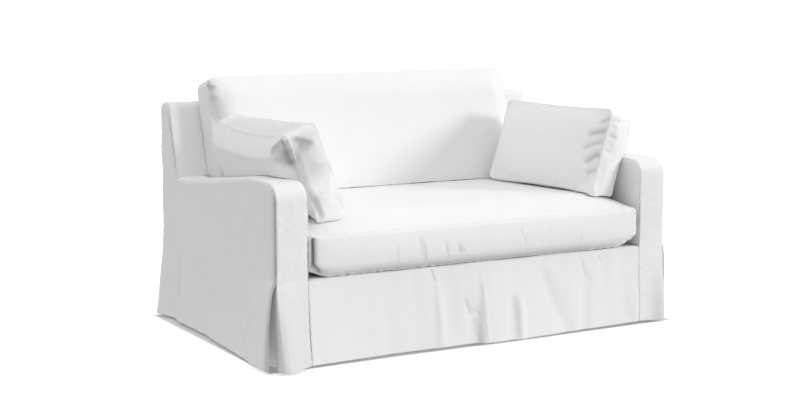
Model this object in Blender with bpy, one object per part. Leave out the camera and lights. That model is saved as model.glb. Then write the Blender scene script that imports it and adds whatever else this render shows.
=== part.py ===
"""Two-seat sofa slipcover: a hollow skirted cover of sewn panels with kick pleats at its
corners, and the boxed seat cushion, back cushion and two arm pillows covered to match.

Metres, +Z up. The pieces are laid out over the floor at z = 0, with y = 0 at the front of
the arms and +Y towards the back. They hang on one empty, which moves the origin to the
middle of the deck's underside, where the sofa's seat platform carries the cover.
"""

import math
from typing import NamedTuple

import bmesh
import bpy
import numpy as np

# Cloth: its thickness, the gap that a seam leaves, and how deep an edge lies under its neighbour
CLOTH = 0.002
GAP = 0.0003
TUCK = CLOTH + GAP

# The sofa's outline
HALF_WIDTH = 0.825
DEPTH = 1.050
ARM_WIDTH = 0.119
ARM_INNER = HALF_WIDTH - ARM_WIDTH
ARM_CORNER = 0.058
DECK_TOP = 0.3025
BACK_TOP = 0.846
BACK_CORNER = 0.035
RAKE_FOOT = 0.809
RAKE_SLOPE = 0.290
RAKE_ANGLE = math.atan(RAKE_SLOPE)
ARC_STEPS = 5
ARM_TOP_STEPS = 13

# The skirt: it hangs free below the pleats' tops, and its turned-in edges start a little lower
PLEAT_TOP = 0.300
HEM = 0.006
SKIRT_ROWS = 6
RETURN_ROWS = 4
FLARE_POWER = 1.15
EDGE_FLARE = 0.55
EDGE_FLARE_RUN = 0.16

# The boxed seat cushion
SEAT_HALF_WIDTH = 0.7035
SEAT_FRONT = -0.012
SEAT_REAR = 0.803
SEAT_EDGE_TOP = 0.452
SEAT_CROWN = 0.055
SEAT_CROWN_RUN = 0.16
SEAT_END_DROP = 0.80
SEAT_BACK_PRESS = 0.12
SEAT_REAR_RUN = 0.05
SEAT_REAR_DROP = 0.6
SEAT_FRONT_BULGE = 0.015
SEAT_TUCK = 0.026
SEAT_TUCK_FROM = 0.340
SEAT_RIGHT_DRAW = 0.020
SEAT_ROUND = (0.018, 0.015, 0.013)
SEAT_CORNER_RUN = 0.085
SEAT_CORNER_LIFT = 0.025

# The boxed back cushion
BACK_LEFT = -0.700
BACK_RIGHT = 0.660
BACK_FOOT = 0.5015
BACK_HEIGHT = 0.420
BACK_BOXING = 0.096
BACK_FOOT_DEPTH = 0.140
BACK_FRONT = 0.147
BACK_ROLL_END = 0.095
BACK_ROLL_TOP = 0.100
BACK_ROLL_FOOT = 0.030
BACK_ROUND = (0.006, 0.006, 0.006)
BACK_END_PUFF = 0.014
BACK_EAR = 0.010
BACK_TOP_PUFF = 0.007
BACK_REST_Y = 0.72

# The arm pillows
PILLOW_ROUND = (0.006, 0.006, 0.006)
PILLOW_SHOW_CROWN = 0.036
PILLOW_LOW_CROWN = 0.008
PILLOW_HIGH_CROWN = 0.050
PILLOW_CROWN_RUN = 0.09
PILLOW_SHOW_ROLL = 0.150
PILLOW_REAR_ROLL = 0.075
PILLOW_BACK_ROLL = 0.040
PILLOW_PUFF = 0.005
PILLOW_EDGE_DRAW = 0.007
PILLOW_END_DRAW = 0.004
PILLOW_EAR = 0.007
PILLOW_REST = 0.0025
PILLOW_BELLY_FROM = 0.75


class ArmTop(NamedTuple):
    y: float
    z: float


class Flap(NamedTuple):
    """One upright line of skirt beside a pleat, from the arm's inner seam outwards."""

    across: float  # share of the arm's width
    behind: float  # how far the turned-in edge starts behind the face
    forward: float  # how far the hem stands in front of the face
    outward: float  # how far the hem stands outside the line


class SideLine(NamedTuple):
    """One upright line of an outer side panel's skirt."""

    y: float
    outward: float
    forward: float


class HemLine(NamedTuple):
    x: float
    forward: float


class Fold(NamedTuple):
    """A soft ridge, or a trough if its rise is negative, that runs down the front."""

    top_x: float
    hem_x: float
    top_z: float
    half_width: float
    rise: float


class UnderlayLine(NamedTuple):
    """Distances inwards from the outer side and from the face, at the pleat top and the hem."""

    top_side: float
    top_face: float
    hem_side: float
    hem_face: float


class Pillow(NamedTuple):
    name: str
    side: int
    middle: tuple
    yaw: float  # degrees
    lean: float  # degrees towards its arm
    dip: float  # degrees down towards its front end
    length: float
    height: float
    thickness: float
    sag: float  # of its upper seams
    pinch: float  # of its upper rear corner


ARM_TOP = (
    ArmTop(ARM_CORNER, 0.633),
    ArmTop(0.150, 0.635),
    ArmTop(0.280, 0.628),
    ArmTop(0.400, 0.611),
    ArmTop(0.530, 0.595),
    ArmTop(0.670, 0.580),
    ArmTop(0.790, 0.565),
    ArmTop(0.900, 0.566),
)

LEFT_FLAP = (
    Flap(0.00, 0.000, 0.028, 0.000),
    Flap(0.25, 0.000, 0.048, 0.002),
    Flap(0.47, 0.000, 0.071, 0.006),
    Flap(0.68, 0.000, 0.088, 0.008),
    Flap(0.87, 0.000, 0.091, 0.008),
    Flap(1.00, 0.000, 0.080, 0.008),
    Flap(1.00, 0.004, 0.056, 0.016),
    Flap(1.00, 0.008, 0.020, 0.013),
)

RIGHT_FLAP = (
    Flap(0.00, 0.000, 0.015, 0.000),
    Flap(0.25, 0.000, 0.015, 0.000),
    Flap(0.47, 0.000, 0.018, -0.004),
    Flap(0.68, 0.000, 0.034, -0.014),
    Flap(0.87, 0.000, 0.056, -0.024),
    Flap(1.00, 0.000, 0.066, -0.028),
    Flap(1.00, 0.004, 0.045, -0.020),
    Flap(1.00, 0.008, 0.015, -0.019),
)

BACK_FLAP = (
    Flap(0.00, 0.000, 0.010, 0.000),
    Flap(0.25, 0.000, 0.014, 0.000),
    Flap(0.47, 0.000, 0.020, 0.001),
    Flap(0.68, 0.000, 0.026, 0.002),
    Flap(0.87, 0.000, 0.030, 0.003),
    Flap(1.00, 0.000, 0.029, 0.003),
    Flap(1.00, 0.004, 0.018, 0.005),
    Flap(1.00, 0.008, 0.000, 0.003),
)

LEFT_SIDE = (
    SideLine(0.000, 0.050, 0.040),
    SideLine(0.060, 0.051, 0.022),
    SideLine(0.180, 0.043, 0.000),
    SideLine(0.333, 0.032, 0.000),
    SideLine(0.654, 0.011, 0.000),
    SideLine(0.810, 0.017, 0.000),
    SideLine(0.945, 0.008, 0.000),
    SideLine(DEPTH, 0.029, -0.004),
)

RIGHT_SIDE = (
    SideLine(0.000, 0.018, 0.000),
    SideLine(0.180, 0.022, 0.000),
    SideLine(0.500, 0.018, 0.000),
    SideLine(0.800, 0.013, 0.000),
    SideLine(DEPTH, 0.027, -0.004),
)

FRONT_HEM = (
    HemLine(-ARM_INNER, 0.028),
    HemLine(-0.530, 0.018),
    HemLine(-0.355, 0.011),
    HemLine(-0.190, 0.014),
    HemLine(-0.040, 0.021),
    HemLine(-0.028, 0.023),
    HemLine(-0.014, 0.037),
    HemLine(0.000, 0.038),
    HemLine(0.133, 0.041),
    HemLine(0.318, 0.034),
    HemLine(0.520, 0.022),
    HemLine(ARM_INNER, 0.015),
)

FRONT_FOLDS = (
    Fold(-0.210, -0.180, 0.290, 0.020, 0.004),
    Fold(-0.060, -0.045, 0.200, 0.034, -0.005),
    Fold(0.150, 0.145, 0.200, 0.018, 0.007),
    Fold(0.115, 0.105, 0.200, 0.022, -0.006),
    Fold(0.265, 0.350, 0.280, 0.034, -0.007),
    Fold(0.460, 0.440, 0.270, 0.025, -0.004),
)

UNDERLAY = (
    UnderlayLine(0.0950, 0.0027, 0.095, 0.004),
    UnderlayLine(0.0500, 0.0027, 0.050, 0.004),
    UnderlayLine(0.0140, 0.0045, 0.014, 0.008),
    UnderlayLine(0.0040, 0.0150, 0.002, 0.020),
    UnderlayLine(0.0027, 0.0500, -0.006, 0.050),
    UnderlayLine(0.0027, 0.0950, -0.006, 0.095),
)

PILLOWS = (
    Pillow("pillow_left", -1, (-0.620, 0.403, 0.655), 2.0, 20.6, 0.3, 0.662, 0.339, 0.116, 0.020, 0.35),
    Pillow("pillow_right", 1, (0.606, 0.398, 0.6495), 7.6, 18.4, 0.3, 0.615, 0.341, 0.112, 0.004, 0.0),
)


def ease(t):
    """0 below 0, 1 above 1, and a smooth climb between them."""
    t = np.clip(t, 0.0, 1.0)
    return t * t * (3 - 2 * t)


def smooth_through(knots, at):
    """A smooth curve through (place, value) knots, read at each place in `at`."""
    places, values = np.array(knots, float).T
    slopes = np.gradient(values, places)
    at = np.clip(at, places[0], places[-1])
    i = np.clip(np.searchsorted(places, at) - 1, 0, len(places) - 2)
    span = places[i + 1] - places[i]
    t = (at - places[i]) / span
    start = (1 + 2 * t) * (1 - t) ** 2 * values[i] + t * (1 - t) ** 2 * span * slopes[i]
    end = t * t * (3 - 2 * t) * values[i + 1] - t * t * (1 - t) * span * slopes[i + 1]
    return start + end


def flare(z):
    """Share of the hem's swing that the skirt has reached at height z."""
    return np.clip((PLEAT_TOP - z) / (PLEAT_TOP - HEM), 0, 1) ** FLARE_POWER


def roll(distance, radius):
    """0 at a seam, rising to 1 where the cloth has rolled out of it."""
    return np.sin(math.pi / 2 * np.clip(distance / radius, 0, 1))


def rake_y(z):
    """Where the inside back's face stands at height z."""
    return RAKE_FOOT + RAKE_SLOPE * (z - PLEAT_TOP)


def skirt_heights():
    return np.linspace(HEM, PLEAT_TOP, SKIRT_ROWS)


def arc(centre, radius, start, end, steps):
    """(y, z) points of an arc between two angles in degrees, both ends included."""
    angles = np.radians(np.linspace(start, end, steps + 1))
    return np.stack([centre[0] + radius * np.cos(angles), centre[1] + radius * np.sin(angles)], 1)


def offset_path(path, distance):
    """A (y, z) path moved to its right-hand side by a distance."""
    along = np.gradient(path, axis=0)
    along /= np.linalg.norm(along, axis=1, keepdims=True)
    return path + distance * np.stack([along[:, 1], -along[:, 0]], 1)


def arm_profile():
    """The arm's outline from the top of its straight front, over the corner and along the top."""
    corner_top = ARM_TOP[0].z
    corner = arc((ARM_CORNER, corner_top - ARM_CORNER), ARM_CORNER, 180, 90, ARC_STEPS)
    top_y = np.linspace(ARM_CORNER, rake_y(ARM_TOP[-1].z) - GAP, ARM_TOP_STEPS + 1)[1:]
    top = np.stack([top_y, smooth_through(ARM_TOP, top_y)], 1)
    return np.concatenate([corner, top])


def back_profile():
    """The back's outline from the arm's top up the raked face and over to the rear edge."""
    setback = BACK_CORNER * math.tan((math.pi / 2 - RAKE_ANGLE) / 2)
    front_centre = (rake_y(BACK_TOP) + setback, BACK_TOP - BACK_CORNER)
    rear_centre = (DEPTH - BACK_CORNER, BACK_TOP - BACK_CORNER)
    front = arc(front_centre, BACK_CORNER, 180 - math.degrees(RAKE_ANGLE), 90, ARC_STEPS)
    rear = arc(rear_centre, BACK_CORNER, 90, 0, ARC_STEPS)
    face_z = np.linspace(ARM_TOP[-1].z + GAP, front[0][1], 5)[:-1]
    face = np.stack([rake_y(face_z), face_z], 1)
    return np.concatenate([face, front, rear])


def cloth_material(name, colour):
    material = bpy.data.materials.new(name + "_cloth")
    material.use_nodes = True
    shader = material.node_tree.nodes["Principled BSDF"]
    shader.inputs["Base Color"].default_value = (*colour, 1.0)
    shader.inputs["Roughness"].default_value = 0.9
    shader.inputs["Metallic"].default_value = 0.0
    material.diffuse_color = (*colour, 1.0)
    return material


def place(name, mesh, parent, colour):
    mesh.shade_smooth()
    mesh.materials.append(cloth_material(name, colour))
    obj = bpy.data.objects.new(name, mesh)
    bpy.context.scene.collection.objects.link(obj)
    obj.parent = parent
    return obj


def add_sheet(name, parent, grid, outward, keep=None, colour=(0.86, 0.86, 0.86)):
    """A cloth panel from rows of points on its outer side, thickened inwards."""
    rows, columns = grid.shape[:2]
    faces = [
        (r * columns + c, r * columns + c + 1, (r + 1) * columns + c + 1, (r + 1) * columns + c)
        for r in range(rows - 1)
        for c in range(columns - 1)
        if keep is None or keep(r, c)
    ]
    shape = bmesh.new()
    points = [shape.verts.new(point) for point in grid.reshape(-1, 3)]
    for face in faces:
        shape.faces.new([points[i] for i in face])
    bmesh.ops.delete(
        shape, geom=[v for v in shape.verts if not v.link_faces], context="VERTS"
    )
    shape.normal_update()
    facing = sum(np.array(f.normal) @ np.array(outward) * f.calc_area() for f in shape.faces)
    if facing < 0:
        bmesh.ops.reverse_faces(shape, faces=shape.faces)
    mesh = bpy.data.meshes.new(name)
    shape.to_mesh(mesh)
    shape.free()
    obj = place(name, mesh, parent, colour)
    thicken = obj.modifiers.new("thickness", "SOLIDIFY")
    thicken.thickness = CLOTH
    thicken.offset = -1
    thicken.use_even_offset = True
    return obj


def edge_weighted(cells):
    """Places from -1 to 1, closer together towards both ends."""
    t = np.linspace(-1, 1, cells + 1)
    return np.sign(t) * (1 - (1 - np.abs(t)) ** 1.7)


def add_block(name, parent, half, corner, cells, shape, colour=(0.90, 0.90, 0.90)):
    """A filled cushion: a block with rounded edges, moved point by point by `shape`."""
    places = [edge_weighted(n) for n in cells]
    index = {}
    points = []
    for i, j, k in np.ndindex(*(n + 1 for n in cells)):
        if any(at in (0, n) for at, n in zip((i, j, k), cells)):
            index[i, j, k] = len(points)
            points.append((places[0][i], places[1][j], places[2][k]))
    half = np.array(half)
    corner = np.array(corner)
    points = np.array(points) * half
    inner = np.clip(points, corner - half, half - corner)
    reach = (points - inner) / corner
    points = inner + corner * reach / np.linalg.norm(reach, axis=1, keepdims=True)
    faces = []
    for axis in range(3):
        u, v = (axis + 1) % 3, (axis + 2) % 3
        for level in (0, cells[axis]):
            for a, b in np.ndindex(cells[u], cells[v]):
                ring = []
                for du, dv in ((0, 0), (1, 0), (1, 1), (0, 1)):
                    key = [level] * 3
                    key[u] = a + du
                    key[v] = b + dv
                    ring.append(index[tuple(key)])
                faces.append(ring)
    mesh = bpy.data.meshes.new(name)
    mesh.from_pydata(shape(points / half, points).tolist(), [], faces)
    block = bmesh.new()
    block.from_mesh(mesh)
    bmesh.ops.recalc_face_normals(block, faces=block.faces)
    block.to_mesh(mesh)
    block.free()
    return place(name, mesh, parent, colour)


def flap_column(flap, side, z):
    """Plan place of a flap's upright line at height z, in front of a face at y = 0."""
    x = ARM_INNER + flap.across * ARM_WIDTH + flap.outward * flare(z)
    y = flap.behind * (1 - flare(z)) - flap.forward * flare(z)
    return side * x, y


def is_return(flap):
    return flap.behind > 0


def add_arm_band(name, parent, side, flaps):
    """One strip from the hem up the arm's front, over its corner and back along its top."""
    rows = []
    for z in skirt_heights():
        rows.append([(*flap_column(flap, side, z), z) for flap in flaps])
    for y, z in arm_profile():
        rows.append([(side * (ARM_INNER + f.across * ARM_WIDTH), y + f.behind, z) for f in flaps])
    returns = [is_return(flap) for flap in flaps]
    add_sheet(
        name,
        parent,
        np.array(rows),
        (0, -1, 1),
        keep=lambda r, c: not returns[c + 1] or r < RETURN_ROWS,
    )


def add_side_panel(name, parent, side, lines):
    """The outer arm and the end of the back in one panel, from the hem to their tops."""
    outline = np.concatenate([offset_path(arm_profile(), TUCK), offset_path(back_profile(), TUCK)])
    outline = outline[np.argsort(outline[:, 0], kind="stable")]
    outward = smooth_through([(line.y, line.outward) for line in lines], outline[:, 0])
    forward = smooth_through([(line.y, line.forward) for line in lines], outline[:, 0])
    sooner = 1 - EDGE_FLARE * (1 - ease(outline[:, 0] / EDGE_FLARE_RUN))
    rows = []
    for z in skirt_heights():
        x = side * (HALF_WIDTH + outward * flare(z) ** sooner)
        rows.append(np.stack([x, outline[:, 0] - forward * flare(z), np.full(len(x), z)], 1))
    for share in np.linspace(0, 1, 5)[1:]:
        z = PLEAT_TOP + share * (outline[:, 1] - PLEAT_TOP)
        rows.append(np.stack([np.full(len(z), side * HALF_WIDTH), outline[:, 0], z], 1))
    add_sheet(name, parent, np.array(rows), (side, 0, 0), colour=(0.80, 0.80, 0.80))


def add_inner_arm(name, parent, side):
    """The panel between the seat and the arm's top, back to the raked inside back."""
    foot = DECK_TOP - CLOTH
    rows = []
    for share in np.linspace(0, 1, 4):
        row = []
        for top_y, top_z in offset_path(arm_profile(), TUCK):
            z = foot + share * (top_z - foot)
            reach = (rake_y(z) - GAP - TUCK) / (rake_y(top_z) - GAP - TUCK)
            row.append((side * ARM_INNER, TUCK + (top_y - TUCK) * reach, z))
        rows.append(row)
    add_sheet(name, parent, np.array(rows), (-side, 0, 0), colour=(0.84, 0.84, 0.84))


def front_forward(x, z):
    """How far the front panel stands in front of the arms' faces."""
    swing = smooth_through(FRONT_HEM, x) * flare(z)
    for fold in FRONT_FOLDS:
        middle = fold.top_x + (fold.hem_x - fold.top_x) * flare(z)
        shown = ease((fold.top_z - z) / (fold.top_z - HEM) * 2)
        swing = swing + fold.rise * shown * np.exp(-(((x - middle) / fold.half_width) ** 2))
    return swing


def add_front_panel(parent):
    edge = ARM_INNER - GAP
    stops = {line.x for line in FRONT_HEM[1:-1]} | set(np.linspace(-edge, edge, 15))
    for fold in FRONT_FOLDS:
        stops |= {fold.hem_x - fold.half_width, fold.hem_x, fold.hem_x + fold.half_width}
    x = np.array(sorted(stops))
    x = x[np.append(True, np.diff(x) > 0.006)]
    heights = np.append(skirt_heights()[:-1], DECK_TOP - TUCK)
    rows = [np.stack([x, -front_forward(x, z), np.full(len(x), z)], 1) for z in heights]
    add_sheet("front_panel", parent, np.array(rows), (0, -1, 0))


def add_deck(parent):
    """The plain panel under the seat cushion, whose front edge covers the front panel's top."""
    x = np.linspace(-1, 1, 7) * (ARM_INNER - GAP)
    y = np.linspace(0, rake_y(DECK_TOP) - GAP - RAKE_SLOPE * CLOTH, 5)
    rows = [np.stack([x, np.full(len(x), at), np.full(len(x), DECK_TOP)], 1) for at in y]
    add_sheet("deck", parent, np.array(rows), (0, 0, 1), colour=(0.84, 0.84, 0.84))


def add_inside_back(parent):
    """The raked face behind the cushions, which widens above the arms and wraps the top."""
    above = back_profile()
    below_z = np.linspace(DECK_TOP - CLOTH, above[0][1], 4)[:-1]
    path = np.concatenate([np.stack([rake_y(below_z), below_z], 1), above])
    inner = ARM_INNER - GAP
    x = np.concatenate([[-HALF_WIDTH], np.linspace(-inner, inner, 9), [HALF_WIDTH]])
    rows = [[(across, y, z) for across in x] for y, z in path]
    add_sheet(
        "inside_back",
        parent,
        np.array(rows),
        (0, -1, 1),
        keep=lambda r, c: r >= len(below_z) or 0 < c < len(x) - 2,
    )


def add_outside_back(parent):
    """The rear panel from the hem to the back's upper edge, with a flap at each pleat."""
    top = BACK_TOP - BACK_CORNER - 3 * GAP
    middle = np.linspace(-ARM_INNER, ARM_INNER, 7)[1:-1]
    rows = []
    for z in np.concatenate([skirt_heights(), np.linspace(PLEAT_TOP, top, 4)[1:]]):
        left = [flap_column(flap, -1, z) for flap in reversed(BACK_FLAP)]
        right = [flap_column(flap, 1, z) for flap in BACK_FLAP]
        level = [(x, -BACK_FLAP[0].forward * flare(z)) for x in middle]
        rows.append([(x, DEPTH - y, z) for x, y in left + level + right])
    returns = sum(is_return(flap) for flap in BACK_FLAP)
    last = len(rows[0]) - 2
    add_sheet(
        "outside_back",
        parent,
        np.array(rows),
        (0, 1, 0),
        keep=lambda r, c: returns <= c <= last - returns or r < RETURN_ROWS,
        colour=(0.80, 0.80, 0.80),
    )


def add_underlay(name, parent, side, at_front):
    """The hidden fold of a kick pleat, round the corner behind its opening."""
    top_z = PLEAT_TOP - CLOTH
    rows = []
    for z in np.linspace(HEM, top_z, SKIRT_ROWS - 1):
        swing = float(flare(z))
        row = []
        for line in UNDERLAY:
            inwards = line.top_side + (line.hem_side - line.top_side) * swing
            behind = line.top_face + (line.hem_face - line.top_face) * swing
            y = behind if at_front else DEPTH - behind
            row.append((side * (HALF_WIDTH - inwards), y, z))
        rows.append(row)
    outward = (side, -1 if at_front else 1, 0)
    add_sheet(name, parent, np.array(rows), outward, colour=(0.72, 0.72, 0.72))


def seat_top(x, y):
    """Height of the seat cushion's top, away from its own edges."""
    rise = ease((y - SEAT_FRONT) / SEAT_CROWN_RUN)
    pressed = 1 - SEAT_BACK_PRESS * ease((y - SEAT_FRONT) / (SEAT_REAR - SEAT_FRONT))
    level = 1 - SEAT_END_DROP * (x / SEAT_HALF_WIDTH) ** 8
    return SEAT_EDGE_TOP + SEAT_CROWN * level * rise * pressed


def seat_shape(share, points):
    """The seat cushion: crowned, with a full front that tucks in to its lower seam."""
    across, along, up = share.T
    x, y, z = points.T
    half_depth = (SEAT_REAR - SEAT_FRONT) / 2
    y = y + (SEAT_FRONT + SEAT_REAR) / 2
    z = z + (DECK_TOP + GAP + SEAT_EDGE_TOP) / 2
    rear = 1 - SEAT_REAR_DROP * (1 - ease((SEAT_REAR - y) / SEAT_REAR_RUN))
    crown = (seat_top(x, y) - SEAT_EDGE_TOP) * rear * ease(up)
    to_end = ease((np.abs(x) - SEAT_HALF_WIDTH + SEAT_CORNER_RUN) / SEAT_CORNER_RUN)
    lift = SEAT_CORNER_LIFT * to_end * ease(-up) * ease(-2 * along - 1)
    at_front = ease(-4 * along - 3)
    bulge = SEAT_FRONT_BULGE * (1 - np.abs(across) ** 6) * (1 - up**2) * at_front
    tuck = np.clip((SEAT_TUCK_FROM - z) / (SEAT_TUCK_FROM - DECK_TOP), 0, 1)
    y = y - bulge + SEAT_TUCK * tuck**1.2 * ease((SEAT_FRONT + half_depth - y) / half_depth)
    x = x * (1 - SEAT_RIGHT_DRAW * ease(across))
    return np.stack([x, y, z + crown + lift], 1)


def back_front(z):
    """Where the back cushion's full front stands at height z."""
    return rake_y(z) - 2 * GAP - BACK_FRONT / math.cos(RAKE_ANGLE)


def back_shape(share, points):
    """The back cushion: it leans on the inside back, its front rolls out of its boxing's
    seams, and its foot rests on the seat cushion's crown."""
    across, through, up = share.T
    x, y, z = points.T
    half_width = (BACK_RIGHT - BACK_LEFT) / 2
    height = z / BACK_HEIGHT + 0.5
    boxing = BACK_BOXING + (BACK_FOOT_DEPTH - BACK_BOXING) * (1 - height) ** 2
    puff = roll(half_width - np.abs(x), BACK_ROLL_END) * roll(BACK_HEIGHT / 2 - z, BACK_ROLL_TOP)
    puff = puff * roll(z + BACK_HEIGHT / 2, BACK_ROLL_FOOT) * ease(through)
    depth = (y / BACK_BOXING + 0.5) * boxing + (BACK_FRONT - boxing) * puff
    swell = 1 + BACK_END_PUFF / half_width * (1 - through**2) * (1 - up**4) * ease(up + 0.5)
    ear = BACK_EAR * ease(16 * np.abs(across) - 15) * ease(6 * up - 5)
    x = (BACK_LEFT + BACK_RIGHT) / 2 + x * swell - np.sign(across) * ear
    top = BACK_TOP_PUFF * (1 - through**2) * (1 - across**6) * np.maximum(up, 0) ** 20 - ear
    climb = height * BACK_HEIGHT / math.cos(RAKE_ANGLE) + top - (1 - height) * depth * RAKE_SLOPE
    sag = (BACK_FOOT - seat_top(x, BACK_REST_Y) - 3 * GAP) * (1 - height) ** 3
    y = climb * math.sin(RAKE_ANGLE) - depth * math.cos(RAKE_ANGLE) - RAKE_SLOPE * sag
    z = climb * math.cos(RAKE_ANGLE) + depth * math.sin(RAKE_ANGLE) - sag
    return np.stack([x, rake_y(BACK_FOOT) - 2 * GAP + y, BACK_FOOT + z], 1)


def pillow_axes(pillow):
    """The pillow's own directions: to its front end, to its arm side and up its face."""
    yaw, lean, dip = (math.radians(turn) for turn in (pillow.yaw, pillow.lean, pillow.dip))
    level = np.array([pillow.side * math.sin(yaw), -math.cos(yaw), 0])
    forward = level * math.cos(dip) - np.array([0, 0, math.sin(dip)])
    to_arm = np.array([pillow.side * math.cos(yaw), math.sin(yaw), 0])
    upright = pillow.side * np.cross(forward, to_arm)
    rearward = math.cos(lean) * to_arm - math.sin(lean) * upright
    upward = math.sin(lean) * to_arm + math.cos(lean) * upright
    return np.array([forward, rearward, upward])


def pillow_shape(pillow):
    """A boxed pillow that leans on its arm: both faces roll out of the boxing's seams, the
    arm side more above the arm than beside it, and the foot settles on the seat cushion."""
    axes = pillow_axes(pillow)

    def hung(share, points):
        along, through, up = share.T
        a, c, b = points.T
        end, edge = pillow.length / 2 - np.abs(a), pillow.height / 2 - np.abs(b)
        high = PILLOW_HIGH_CROWN - PILLOW_LOW_CROWN
        high = PILLOW_LOW_CROWN + high * ease(b / PILLOW_CROWN_RUN)
        end_roll = np.where(a < 0, PILLOW_BACK_ROLL, PILLOW_REAR_ROLL)
        rear = high * roll(end, end_roll) * roll(edge, PILLOW_REAR_ROLL)
        show = PILLOW_SHOW_CROWN * roll(end, PILLOW_SHOW_ROLL) * roll(edge, PILLOW_SHOW_ROLL)
        pinched = ease(-along) * ease((up + 0.4) / 1.4) * (1 - through) / 2
        c = c + pillow.pinch * pillow.thickness * pinched
        crown = rear * ease(through) - show * ease(-through)
        boxing = PILLOW_PUFF * (1 - through**2)
        b = b + boxing * (1 - along**4) * np.maximum(up, 0) ** 20
        b = b - np.where(up > 0, pillow.sag, PILLOW_EDGE_DRAW) * up * (1 - along**2)
        a = a + boxing * (1 - up**4) * np.sign(along) * np.abs(along) ** 20
        a = a - PILLOW_END_DRAW * along * (1 - up**2)
        ear = PILLOW_EAR * ease(14 * np.abs(along) - 13) * ease(8 * np.abs(up) - 7)
        a, b = a - np.sign(along) * ear, b - np.sign(up) * ear
        return np.array(pillow.middle) + np.stack([a, c + crown, b], 1) @ axes

    def shape(share, points):
        placed = hung(share, points)
        foot = hung(share * (1, 1, 0) - (0, 0, 1), points * (1, 1, 0) - (0, 0, pillow.height / 2))
        space = foot[:, 2] - seat_top(foot[:, 0], foot[:, 1]) - PILLOW_REST
        low = (1 - share[:, 2]) / 2
        belly = (1 - share[:, 1] ** 6) * ease((low - PILLOW_BELLY_FROM) / (1 - PILLOW_BELLY_FROM))
        placed[:, 2] -= np.minimum(space, 0) * low**3 + np.maximum(space, 0) * belly
        placed[:, 1] = np.minimum(placed[:, 1], back_front(placed[:, 2]) - PILLOW_REST)
        return placed

    return shape


def add_cushions(parent):
    add_block(
        "seat_cushion",
        parent,
        (SEAT_HALF_WIDTH, (SEAT_REAR - SEAT_FRONT) / 2, (SEAT_EDGE_TOP - DECK_TOP - GAP) / 2),
        SEAT_ROUND,
        (16, 10, 4),
        seat_shape,
    )
    add_block(
        "back_cushion",
        parent,
        ((BACK_RIGHT - BACK_LEFT) / 2, BACK_BOXING / 2, BACK_HEIGHT / 2),
        BACK_ROUND,
        (16, 4, 8),
        back_shape,
    )
    for pillow in PILLOWS:
        half = (pillow.length / 2, pillow.thickness / 2, pillow.height / 2)
        add_block(pillow.name, parent, half, PILLOW_ROUND, (12, 4, 8), pillow_shape(pillow))


def main():
    for obj in list(bpy.data.objects):
        bpy.data.objects.remove(obj)
    carrier = bpy.data.objects.new("carrier", None)
    bpy.context.scene.collection.objects.link(carrier)
    carrier.location = (0, -rake_y(DECK_TOP) / 2, CLOTH - DECK_TOP)
    add_deck(carrier)
    add_front_panel(carrier)
    add_inside_back(carrier)
    add_outside_back(carrier)
    sides = (("left", -1, LEFT_FLAP, LEFT_SIDE), ("right", 1, RIGHT_FLAP, RIGHT_SIDE))
    for word, side, flaps, lines in sides:
        add_arm_band(f"arm_band_{word}", carrier, side, flaps)
        add_side_panel(f"side_panel_{word}", carrier, side, lines)
        add_inner_arm(f"inner_arm_{word}", carrier, side)
        add_underlay(f"underlay_front_{word}", carrier, side, True)
        add_underlay(f"underlay_back_{word}", carrier, side, False)
    add_cushions(carrier)


main()
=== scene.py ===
"""Looks of the two-seat sofa slipcover: fine cloth, filled cushions, floor, light and camera.

Every shape is laid out in metres over the floor at z = 0, with y = 0 at the front of the arms,
and is then shifted into the part's frame, whose origin is under the middle of the deck.
"""

import math
from collections import namedtuple

import bpy
import numpy as np
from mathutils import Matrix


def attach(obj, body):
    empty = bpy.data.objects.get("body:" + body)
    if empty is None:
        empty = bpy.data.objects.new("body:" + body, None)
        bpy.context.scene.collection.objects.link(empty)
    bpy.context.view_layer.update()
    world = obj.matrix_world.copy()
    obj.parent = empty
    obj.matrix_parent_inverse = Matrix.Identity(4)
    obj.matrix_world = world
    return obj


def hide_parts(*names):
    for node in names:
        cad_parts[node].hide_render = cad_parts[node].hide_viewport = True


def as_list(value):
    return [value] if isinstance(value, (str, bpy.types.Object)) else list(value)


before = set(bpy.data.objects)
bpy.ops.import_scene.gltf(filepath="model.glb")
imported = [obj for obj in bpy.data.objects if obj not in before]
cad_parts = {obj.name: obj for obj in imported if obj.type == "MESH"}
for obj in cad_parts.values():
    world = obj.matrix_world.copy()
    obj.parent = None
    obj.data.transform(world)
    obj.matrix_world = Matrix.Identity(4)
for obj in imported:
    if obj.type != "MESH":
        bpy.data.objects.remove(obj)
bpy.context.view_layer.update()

# The part's own sizes. Hems, rounded edges and crowns are finer here than in its solids
CLOTH = 0.002
GAP = 0.0003
HALF_WIDTH = 0.825
DEPTH = 1.05
ARM_WIDTH = 0.119
ARM_INNER = HALF_WIDTH - ARM_WIDTH
ARM_CORNER = 0.058
DECK_TOP = 0.3025
BACK_TOP = 0.846
BACK_CORNER = 0.035
RAKE_FOOT = 0.809
RAKE_SLOPE = 0.29
RAKE_ANGLE = math.atan(RAKE_SLOPE)
PLEAT_TOP = 0.3
HEM = 0.011
FLARE_POWER = 1.15
EDGE_FLARE = 0.55
EDGE_FLARE_RUN = 0.16

SEAT_HALF_WIDTH = 0.7035
SEAT_FRONT = -0.012
SEAT_REAR = 0.803
SEAT_EDGE_TOP = 0.452
SEAT_CROWN = 0.055
SEAT_CROWN_RUN = 0.16
SEAT_END_DROP = 0.8
SEAT_BACK_PRESS = 0.12
SEAT_REAR_RUN = 0.05
SEAT_REAR_DROP = 0.6
SEAT_FRONT_BULGE = 0.015
SEAT_TUCK = 0.026
SEAT_TUCK_FROM = 0.34
SEAT_RIGHT_DRAW = 0.02
SEAT_ROUND = (0.018, 0.015, 0.013)
SEAT_CORNER_RUN = 0.085
SEAT_CORNER_LIFT = 0.025

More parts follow.
